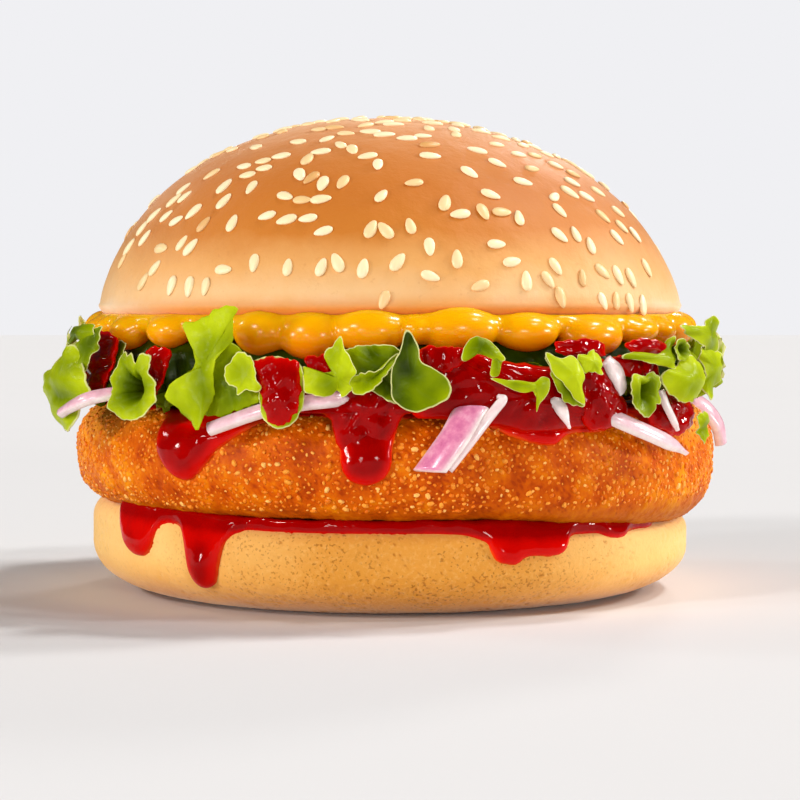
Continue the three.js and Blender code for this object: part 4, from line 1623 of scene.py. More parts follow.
@dataclass(frozen=True)
class Sauces:
    """The two layers of chilli sauce and the pools that lie on the leaves.

    The walls start at the radius inside. The lower one takes in a share of the heel's outline, and
    the upper one leaves out the rest of the patty's edge, in points.
    """

    step: float = 0.36
    inside: float = 44.5
    low_share: float = 0.93
    high_rest: int = 12
    lower: Pour = Pour(
        "lower_chilli_sauce", "lower_sauce",
        ((-100, 17), (-70, 17.4), (-63, 16.6), (-61, 14.6), (-60.2, 13.2), (-59.4, 12.4), (-58.4, 11.2),
         (-57, 9.6), (-54.5, 8.3),
         (-51.6, 7.9), (-49.2, 8.4), (-47.8, 9.6), (-46.9, 11.2), (-45.6, 12.6), (-44, 13.2), (-42, 13.3),
         (-40.2, 12.8), (-39.2, 11.6), (-38.6, 9.8), (-38.2, 8), (-37.7, 6.5), (-37, 5.3), (-35.7, 4.6),
         (-34.3, 4.5), (-32.9, 4.9), (-31.9, 5.7), (-31.2, 7), (-30.8, 8.6), (-30.3, 10.2), (-29.6, 11.7),
         (-28.6, 12.8), (-27, 13.5), (-24.5, 13.9), (-10, 13.9), (6, 13.9), (12.5, 13.7), (15.6, 13),
         (17.1, 12.3), (17.6, 11.2), (18.3, 10), (19.5, 9.2), (21.2, 8.9), (22.6, 9), (24, 9.9), (26, 10.2),
         (28.4, 10), (30.6, 10.2), (32.1, 10.8), (33, 12), (33.6, 12.9), (35.3, 13.5), (40.2, 13.6),
         (41.8, 13.2),
         (43, 12.8), (45.5, 12.5), (47.7, 12.8), (49, 13.3), (51.2, 13.7), (54, 13.8), (57, 13.8), (59.8, 14),
         (61, 14.6), (62.4, 15.6), (68, 17), (80, 17.4), (90, 16.4)),
        (Drip(98, 2.7, 8), Drip(105, 1.6, 12), Drip(140, 2.8, 5.6), Drip(148, 1.6, 12), Drip(-162, 2.6, 8.6),
         Drip(-124, 2.7, 6.4), Drip(-114, 1.6, 12)), 13.9, 0.5, 1.7, 1.6, 50.4)
    upper: Pour = Pour(
        "upper_chilli_sauce", "upper_sauce",
        ((-52, 32.4), (-46, 32.2), (-43.4, 31.4), (-42.8, 30), (-42.4, 28), (-42, 26.3), (-40.9, 24.7),
         (-39.3, 23.2), (-37.5, 22.2), (-35.7, 21.9), (-34, 22.3), (-32.5, 23.4), (-31.2, 24.7),
         (-30.2, 25.8),
         (-29.3, 26.9), (-27.4, 28.2), (-25.6, 29.4), (-23, 30.8), (-19, 31.8), (-14, 32.2), (-10.2, 31.8),
         (-9.4, 30.4), (-8.7, 28.8), (-8.4, 27), (-8.3, 25.3), (-7.9, 24), (-6.9, 22.7), (-5.3, 22),
         (-3.7, 21.9),
         (-2, 22.5), (-0.8, 23.6), (-0.2, 25), (-0.2, 26.8), (0.2, 28.6), (0.7, 30.2), (1.5, 31.6), (5, 32),
         (12, 31.4), (16.5, 30.4), (18.1, 29.7), (19.7, 29.1), (21.5, 28.5), (23.2, 28.1), (25, 27.8),
         (26.6, 27.8), (27.9, 28.4), (29.3, 29.1), (31, 29.5), (34.7, 29.5), (37.5, 29.7), (39.6, 30.3),
         (41.5, 31.4), (44.6, 31.6), (47.4, 30.6), (50, 29), (53, 28.1), (56.4, 28.4), (60, 29.6), (64, 31.4),
         (70, 32.6)),
        (Drip(100, 3.8, 25.6), Drip(109, 2, 29), Drip(126, 4.4, 22.4), Drip(117, 2.2, 29.6),
         Drip(169, 3.6, 26.4), Drip(-144, 4.2, 21.6), Drip(-133, 2.4, 28), Drip(-107, 3.4, 26.8)),
        32.2, 0.35, 1.9, 0.0, 50.0)
    pools: tuple[Pool, ...] = (
        # The tongue down its leaf, and the sauce among the leaves at the left.
        Pool(((-21.2, 40.6), (-20.2, 41.2), (-17.6, 41.7), (-14.6, 41.2), (-13.6, 40.4), (-13.4, 38),
              (-13.5, 35),
              (-14.4, 32.4), (-16.2, 31.2), (-17.8, 31.8), (-19, 33.8), (-19.7, 37)), (-16.6, 36.5),
              60.7, 0.6,
             (0, -0.14), 0.9),
        Pool(((-51, 44.6), (-47, 45.2), (-45, 44), (-44.8, 41), (-45.6, 37.4), (-46.4, 35), (-48.6, 35),
              (-50, 38), (-50.6, 41)), (-47.8, 40), 56.8, 0, (0, -0.2), 0.3),
        Pool(((-39, 42.6), (-36.4, 43), (-35, 42.2), (-35.2, 40.2), (-35.8, 37), (-37, 34.8), (-38.2, 36),
              (-38.8, 40)), (-37, 40.4), 56.2, 0, (0, -0.2), 0.3),
        # The dark run above the middle drip, the deep pool behind the slab of onion, and its bright end.
        Pool(((-15, 37.4), (-8, 38.4), (-2, 38.2), (4, 37.4), (5.4, 34), (2.4, 32.7), (1.4, 31), (0.2, 28.6),
              (-1, 27.2), (-4, 26.4), (-7, 27.2), (-8.2, 29), (-8.6, 31), (-9.8, 32.8), (-15, 33.4)),
             (-4, 33.2), 56.2, 0.4, (0, -0.05), 0.9),
        Pool(((4, 42.5), (12, 42.4), (20, 40.6), (27, 40.2), (30, 41.4), (34, 41), (36, 37), (37, 32.6),
              (33, 31),
              (28, 30.1), (22, 29.6), (17, 30.8), (9, 32), (3, 33.4)), (20, 35.4), 56.4, 1.2, (0, 0), 1.3),
        Pool(((30.2, 40.4), (33.8, 39.8), (35.8, 36.6), (37.4, 34), (37, 31.2), (33.6, 30), (30.6, 30.6),
              (30, 35)),
             (33.4, 35), 57.8, 0.5, (0, -0.05), 1.2),
        Pool(((5.2, 43.2), (11.6, 43), (11, 40.6), (8.4, 39.4), (5.6, 40.4)), (8, 41.4), 58.4, 0.3, (0, -0.2),
             0.7),
        Pool(((26.4, 44), (33, 44.2), (34, 41.8), (30, 41.4), (26.6, 42)), (30, 43), 57.2, 0.3, (0, -0.2),
              0.6),
        Pool(((37.6, 43.6), (40.6, 44.4), (44.2, 43.6), (43.6, 42), (39, 41.9)), (40.8, 43),
              59.2, 0.3, (0, -0.2),
             0.7),
        Pool(((34.6, 41.4), (41.8, 41), (43.2, 39.2), (42.6, 37.6), (37.4, 38.4)), (38.6, 40),
              57.4, 0.3, (0, -0.2),
             0.7),
        Pool(((41.2, 36.4), (46, 35.4), (49.4, 34), (49.8, 31), (47.4, 28.6), (44.4, 29.2), (41.6, 31)),
              (45, 32.4),
             58.0, 0.3, (0, -0.15), 0.9),
        Pool(((-12.8, 41.4), (-9.6, 42), (-8.4, 40), (-10.8, 38.8)), (-10.8, 40.4), 59.2, 0.3, (0, -0.2),
              0.5))

    def build(self, heel: BottomBun, patty: Patty) -> None:
        """Pour both layers and the pools."""
        skin = ChilliSauce("chilli_sauce").material()
        top = Span.of("bottom_bun").high.z
        outline = heel.outline(top)
        low_path = outline[outline[:, 0] > self.inside]
        heel_wall = Wall(low_path[: int(len(low_path) * self.low_share)], heel.uneven)
        span = Span.of("patty")
        edge = patty.edge(span.low.z, span.high.z)
        high_path = thinned([(self.inside, span.high.z), *map(tuple, edge[:-self.high_rest])], 0.4)
        patty_wall = Wall(high_path, patty.uneven)
        self.lower.build(heel_wall, self.step, skin, heel.settled)
        self.upper.build(patty_wall, self.step, skin,
                         lambda points: patty.settled(points + (patty.shift, 0, 0)))
        heap = Heap()
        for number, pool in enumerate(self.pools):
            pool.add_to(heap, number)
        settle(heap.piece("chilli_sauce_on_leaves", skin), "chilli_sauce")


@dataclass(frozen=True)
class CheeseRing:
    """The ring of cheese sauce that is squeezed out in beads under the crown."""

    step: float = 0.4
    reach: float = 51
    front: tuple[tuple[float, ...], ...] = (
        (-68, 2.6, 47.6, 43.8), (-58, 4.6, 47.9, 42.0), (-44.5, 4.6, 48.1, 42.6), (-33.8, 3.8, 47.8, 43),
        (-23.4, 4.7, 48.9, 41.6), (-14, 5.2, 48.6, 40.9), (-3.2, 6.0, 49.1, 42), (5, 2.8, 48.2, 43.4),
        (12.6, 6.6, 49.5, 42.2), (25.4, 5.6, 48.5, 42.2), (40, 6.4, 47.9, 41.2), (53, 5, 47.6, 43.2),
        (62, 3.8, 47.4, 43.2))
    back: int = 17
    core_reach: float = 49.0
    bead_reach: float = 50.4
    bead_depth: float = 2.6

    def beads(self) -> list[tuple[float, ...]]:
        """List every bead's bearing, half width, top and foot, the front ones first."""
        draw = np.random.default_rng(21)
        rest = [(73 + (284 - 73) * i / (self.back - 1), float(draw.uniform(4.6, 6)),
                 float(draw.uniform(47.6, 48.8)), float(draw.uniform(41.2, 43))) for i in range(self.back)]
        return [*self.front, *rest]

    def build(self) -> None:
        """Squeeze the ring out."""
        span = Span.of("cheese_sauce")
        girth = 2 * math.pi * self.reach
        vat = Vat((-girth / 2, 40, span.low.z - 1.5), (0, 57, span.high.z + 2.0), self.step, girth)
        top = span.high.z

        def core(along: np.ndarray, radius: np.ndarray, height: np.ndarray) -> np.ndarray:
            """Give the distance to the even ring inside the beads."""
            return np.hypot((radius - self.core_reach) / 1.3, height - top + 0.7) - 2.0

        vat.blend((-girth / 2, 40, top - 5), (girth / 2, 54, top + 1.6), 1.0, core)
        for bearing, half, high, low in self.beads():
            along = math.radians(bearing) * self.reach
            depth = self.bead_depth + half * 0.2
            vat.lump((along, self.bead_reach, (high + low) / 2), (half, depth, (high - low) / 2), 1.0)
        spots = [vat.low[axis] + vat.step[axis] * np.arange(vat.values.shape[axis]) for axis in (1, 2)]
        radius, height = np.meshgrid(*spots, indexing="ij")
        ceiling = top + 0.3 + 2.6 * (1 - np.sqrt(1 - np.clip((radius - 48.7) / 2.6, 0, 1) ** 2))
        vat.values = np.maximum(vat.values, (height - ceiling)[None])
        points, quads = vat.skin()
        along, radius, height = points.T
        heap = Heap()
        # The lift also sets the painted shade on the beads' undersides.
        heap.add(around(along / self.reach, radius, height), quads[:, ::-1],
                 lift=(height - span.low.z) / span.height)
        made = heap.piece("cheese_ring", CheeseSauce("cheese_sauce").material())
        settle(made, "cheese_sauce", "cheese_sauce")


@dataclass(frozen=True)
class Strip:
    """A strip of onion: its route, width, thickness and how much of the skin shows."""

    route: Places
    wide: float
    thick: float
    tip: float = 0.5
    skin: float = 0.5
    slant: float = 0.0
    twist: float = 0.0


@dataclass(frozen=True)
class Onions:
    """The strips of red onion."""

    strips: tuple[Strip, ...] = (
        Strip(((-45.5, 55, 36), (-47, 59.6, 35.5), (-49.5, 62.8, 34.7), (-53, 63.4, 33.5),
               (-57.4, 63.2, 32)), 2.3, 1.4, 0.7, 0.6),
        Strip(((-3, 50, 36.1), (-8, 57.2, 35.2), (-13, 58.6, 34.6), (-19, 59.4, 33.4),
               (-27.4, 60.2, 30.4)), 2.3,
              1.6, 0.9, 0.5),
        Strip(((12.4, 59, 33.6), (11.4, 59.6, 32.4), (9.8, 60.2, 29.8), (8, 60.4, 27.2), (6, 60.4, 24.4)),
               4.8,
              1.5, 1.0, 1.0, 0.55, 18),
        Strip(((33, 54, 34.5), (38, 59, 31.4), (44, 60.1, 29), (49, 60.2, 27.2), (53.2, 60.1, 25.4)), 2.9,
              1.4, 0.12, 0.45),
        Strip(((39.5, 57.8, 36.4), (38, 58.4, 38.6), (36.2, 57.8, 41)), 3.8, 1.1, 0.6, 0.15),
        Strip(((25, 55, 36), (26.5, 58.6, 34.4), (27.8, 60, 30.6)), 2.2, 1.0, 0.15, 0.1),
        Strip(((82, 48, 34.8), (85, 54.4, 31.9), (87, 57.4, 28.6), (88, 58.2, 25.2)),
               4.2, 1.7, 0.7, 0.6, 0.0, 25),
        Strip(((133, 44, 36.1), (136, 53, 36), (139, 58.8, 33.4), (142, 60.2, 27.8)), 5.6, 1.3, skin=0.9),
        Strip(((176, 50, 36.1), (184, 57, 34.2), (193, 59.6, 30.6), (200, 60, 27.4)), 3, 1.4, 0.35, skin=0.3),
        Strip(((-147, 45, 36.1), (-147.5, 53, 36), (-148, 58.9, 33.2), (-149, 60.8, 28.6)), 4, 1.4, skin=0.8),
        Strip(((-106, 44, 36.1), (-107, 51, 36), (-108, 57, 34.6), (-109, 61, 31.6)), 3.4, 1.4, skin=0.5))
    slivers: tuple[Strip, ...] = (
        # The pale rim of the big slab, and the stalk beside the curl at the right.
        Strip(((8.7, 60.2, 24.6), (11.6, 60.4, 28.4), (14.2, 60.3, 31.8), (16.2, 60, 34.2),
               (17.2, 59.6, 35.2),
               (16.4, 59.2, 35.6)), 1.5, 1.3, 0.4, 0.2),
        Strip(((47, 59.4, 36), (47.6, 60, 33.6), (49.2, 60.2, 31.2), (51, 59.8, 29.4)), 1.3, 1.0, 0.3, 0.1))

    @staticmethod
    def heap(strip: Strip) -> Heap:
        """Sweep one strip, its skin side outwards."""
        rows, ring = 44, 20
        share = np.linspace(0, 1, rows)
        line = curve(places(strip.route), share)
        forward = unit(np.gradient(line, axis=0))
        out = unit(line * (1, 1, 0)) + np.array((0, 0, 0.7))
        up = unit(out - (out * forward).sum(-1, keepdims=True) * forward)
        side = np.cross(forward, up)
        lean = math.radians(strip.twist)
        up, side = up * math.cos(lean) + side * math.sin(lean), side * math.cos(lean) - up * math.sin(lean)
        turn = np.linspace(0, 2 * math.pi, ring, endpoint=False)
        across = np.sign(np.cos(turn)) * np.abs(np.cos(turn)) ** 0.42
        lift = np.sign(np.sin(turn)) * np.abs(np.sin(turn)) ** 0.6
        narrow = 1 - (1 - strip.tip) * eased(share, 0.62, 1.0)
        wide = (strip.wide / 2 * narrow)[:, None] * across
        thick = (strip.thick / 2 * np.minimum(1, 0.35 + narrow))[:, None] * lift
        bow = 0.1 * strip.wide * (1 - across ** 2)
        skin = line[:, None] + wide[..., None] * side[:, None] + (thick + bow)[..., None] * up[:, None]
        skin += (strip.slant * wide)[..., None] * forward[:, None]
        ends = np.concatenate((line[:1] + up[:1] * bow.max() * 0.5,
                               line[-1:] + forward[-1:] * 0.25 + up[-1:] * bow.max() * 0.5))
        shade = strip.skin * np.clip(lift * 1.3 + 0.1, 0, 1) * (1 - np.abs(across) ** 6)
        tone = np.concatenate((np.tile(shade, rows), (0, 0)))
        heap = Heap()
        heap.tube(skin, ends, skin=tone)
        return heap

    def build(self) -> None:
        """Make every strip a piece of its own."""
        flesh = OnionFlesh("onion").material()
        for number, strip in enumerate(self.strips, 1):
            piece = self.heap(strip).piece(f"onion_{number:02d}", flesh)
            settle(piece, "onion", f"onion_strip_{number:02d}")
        for number, strip in enumerate(self.slivers, 1):
            settle(self.heap(strip).piece(f"onion_sliver_{number:02d}", flesh), "onion")


@dataclass(frozen=True)
class Leaf:
    """One lobe of a curly leaf, swept along a spine.

    Widths, cups and rolls hold at the spine's points, evenly spaced. A cup is the arc in degrees
    that the lobe bends through, its edges lifted where it is above 0. Rolls turn the lobe about
    its spine.
    """

    spine: Places
    widths: tuple[float, ...]
    cups: tuple[float, ...] = (40.0,)
    rolls: tuple[float, ...] = (0.0,)
    ruffle: float = 1.0
    waves: float = 3.0
    teeth: float = 0.5
    round: float = 0.35
    tone: float = 0.5
    seed: int = 1
    thick: float = 0.42

    def add_to(self, heap: Heap, rows: int = 44, columns: int = 44) -> None:
        """Put the lobe on a heap as a closed sheet.

        Args:
            heap: The heap it goes on.
            rows: Points along it.
            columns: Points across it.
        """
        along = np.linspace(0, 1, rows)[:, None]
        across = np.linspace(-1, 1, columns)[None, :]
        line = curve(places(self.spine), along[:, 0])
        forward = unit(np.gradient(line, axis=0))
        out = unit(line * (1, 1, 0))
        level = np.stack((-out[:, 1], out[:, 0], np.zeros(rows)), axis=-1)
        side = unit(level - (level * forward).sum(-1, keepdims=True) * forward)
        up = np.cross(forward, side)
        roll = np.radians(curve(self.spread(self.rolls), along[:, 0]))
        side, up = side * np.cos(roll) + up * np.sin(roll), up * np.cos(roll) - side * np.sin(roll)
        width = curve(self.spread(self.widths), along[:, 0])
        arc = np.radians(curve(self.spread(self.cups), along[:, 0]))
        arc = np.where(np.abs(arc) < 0.02, 0.02, arc)
        tip = 1 - self.round * np.abs(across) ** 2.6 * along ** 2
        wander = ripple(self.seed + 50, across * 2.2, along * 1.2)
        turn = across * arc / 2
        radius = width / arc
        flat = radius * np.sin(turn)
        lift = radius * (1 - np.cos(turn))
        rim = np.maximum(along ** 1.6, np.abs(across) ** 3 * eased(along, 0.1, 0.5))
        heading = np.arctan2(across * 1.25, 1.35 - along * 0.75)
        wave = np.sin(self.waves * 2 * heading + self.seed * 1.7 + 0.9 * wander)
        small = np.sin(self.waves * 4.6 * heading + self.seed * 2.3 + 1.4 * wander)
        frill = self.ruffle * rim ** 1.5 * (wave + 0.35 * small)
        jag = np.abs(ripple(self.seed + 9, heading * 9, np.zeros_like(heading), 3.5))
        teeth = self.teeth * rim ** 5 * (jag - 0.45) * 1.8
        blister = 0.28 * ripple(self.seed + 5, across * width / 3.0, along * self.length() / 3.0, 2.6)
        sink = (tip - 1) * self.length()
        spot = (line[:, None] + (flat + teeth * across)[..., None] * side[:, None]
                + (lift + frill + blister * eased(along, 0.05, 0.3))[..., None] * up[:, None]
                + (teeth + sink * along)[..., None] * forward[:, None])
        fan = np.abs(across) * 2.4 + (1 - along) * 0.6
        vein = np.exp(-(across * width / 1.1) ** 2) * (1 - 0.6 * along)
        ribs = np.clip(np.cos(2 * math.pi * (along * 2.6 - np.abs(across) * 1.3 + 0.1 * wander)), 0.0, 1) ** 8
        vein = np.clip(vein + 0.5 * ribs * eased(fan, 0.2, 0.7) * (1 - rim ** 3), 0, 1)
        edge = np.maximum(along, np.abs(across) ** 1.5 * eased(along, 0.0, 0.35))
        # Painted light and shade: the tone rises on the ruffles' crests and falls in their troughs.
        self.sheet(heap, spot, edge=edge, vein=vein, tone=self.tone + 0.18 * frill / max(self.ruffle, 0.2))

    def spread(self, numbers: tuple[float, ...]) -> np.ndarray:
        """Repeat a single number along the spine."""
        return np.array(numbers if len(numbers) > 1 else numbers * 2, dtype=float)

    def length(self) -> float:
        """Give the spine's length."""
        return float(np.linalg.norm(np.diff(places(self.spine), axis=0), axis=-1).sum())

    def sheet(self, heap: Heap, spot: np.ndarray, **values: np.ndarray) -> None:
        """Close a grid of points into a thin sheet.

        Args:
            heap: The heap it goes on.
            spot: Points by row and column.
            **values: Numbers of the same shape.
        """
        rows, columns = spot.shape[:2]
        normal = unit(np.cross(np.gradient(spot, axis=0), np.gradient(spot, axis=1)))
        edge = values["edge"]
        half = (self.thick / 2 * (1.15 - 0.75 * edge))[..., None]
        front, back = spot + normal * half, spot - normal * half
        count = rows * columns
        quads = grid_quads(rows, columns, False)
        number = np.arange(count).reshape(rows, columns)
        loop = np.concatenate((number[0], number[1:, -1], number[-1, -2::-1], number[-2:0:-1, 0]))
        after = np.roll(loop, -1)
        wall = np.stack((loop, after, after + count, loop + count), axis=-1)
        doubled = {name: np.tile(np.broadcast_to(numbers, (rows, columns)).ravel(), 2)
                   for name, numbers in values.items()}
        heap.add(np.concatenate((front.reshape(-1, 3), back.reshape(-1, 3))),
                 quads, quads[:, ::-1] + count, wall, **doubled)


@dataclass(frozen=True)
class Lobe(Patch):
    """A lobe of lettuce at the front.

    The tone is 0 for deep green and 1 for bright, and fade is how much it grows for each mm to the
    right and up. A throat is the depth and the share of the way out of the hollow at the heart. The
    rim is how much brighter the lobe gets outwards, and lined how far its edge line shows. The tone,
    fade, folds and throat carry painted light and shade as well as the leaf's own green.
    """

    tone: float = 0.5
    fade: tuple[float, float] = (0.0, 0.0)
    frill: float = 0.35
    throat: tuple[float, float] = (0.0, 0.3)
    crease: float = 0.5
    nibble: float = 0.22
    rim: float = 1.0
    lined: float = 1.0
    thick: float = 0.34

    def add_to(self, heap: Heap, number: int) -> None:
        """Put the lobe on a heap as a thin closed sheet."""
        share, turn, x, z, radius = self.grid(18, 84, self.nibble, number + 70)
        folds = ripple(number + 20, x / 3.4, z / 3.4, 1.6)
        waves = np.sin(5 * turn + number) + 0.6 * np.sin(9 * turn + 2.2 * number)
        deep = self.throat[0] * np.exp(-(share / self.throat[1]) ** 2)
        crinkle = self.crease * (folds * (1 - 0.4 * share) + 0.3 * ripple(number + 33, x / 1.5, z / 1.5, 1.6))
        radius = radius + crinkle + self.frill * share ** 4 * waves - deep
        middle = self.points(x, z, radius)
        normal = unit(np.cross(np.roll(middle, -1, axis=1) - np.roll(middle, 1, axis=1),
                               np.gradient(middle, axis=0)))
        half = (self.thick / 2 * (1.2 - 0.8 * share ** 3))[..., None]
        middle_x, middle_z = self.heart
        # Painted light and shade: the tone slopes across the lobe, rises on the crests of its folds, drops
        # deep in the throat, and drops towards the rim where the rim is below 1.
        tone = self.tone + self.fade[0] * (x - middle_x) + self.fade[1] * (z - middle_z) + 0.3 * folds
        tone = tone - 0.5 * np.exp(-(share / (self.throat[1] * 1.4)) ** 2) * (self.throat[0] > 0)
        tone = tone - 0.75 * (1 - self.rim) * share ** 2.2
        ribs = np.clip(np.cos(4 * turn + 0.8 * folds + number), 0, 1) ** 12
        ribs = ribs * eased(share, 0.1, 0.3) * (1 - share) * self.rim
        flip = np.sign((normal * unit(middle * (1, 1, 0))).sum(-1).mean())
        self.close(heap, middle + flip * normal * half, middle - flip * normal * half,
                   edge=(0.1 + 0.9 * share ** 2.2) * self.lined, vein=0.25 * ribs, tone=tone + 0.08)


class Curl(Enum):
    """How a lobe drawn at random bends."""

    ARCHED = 0
    HANGING = 1
    TRUMPET = 2
    HOOKED = 3


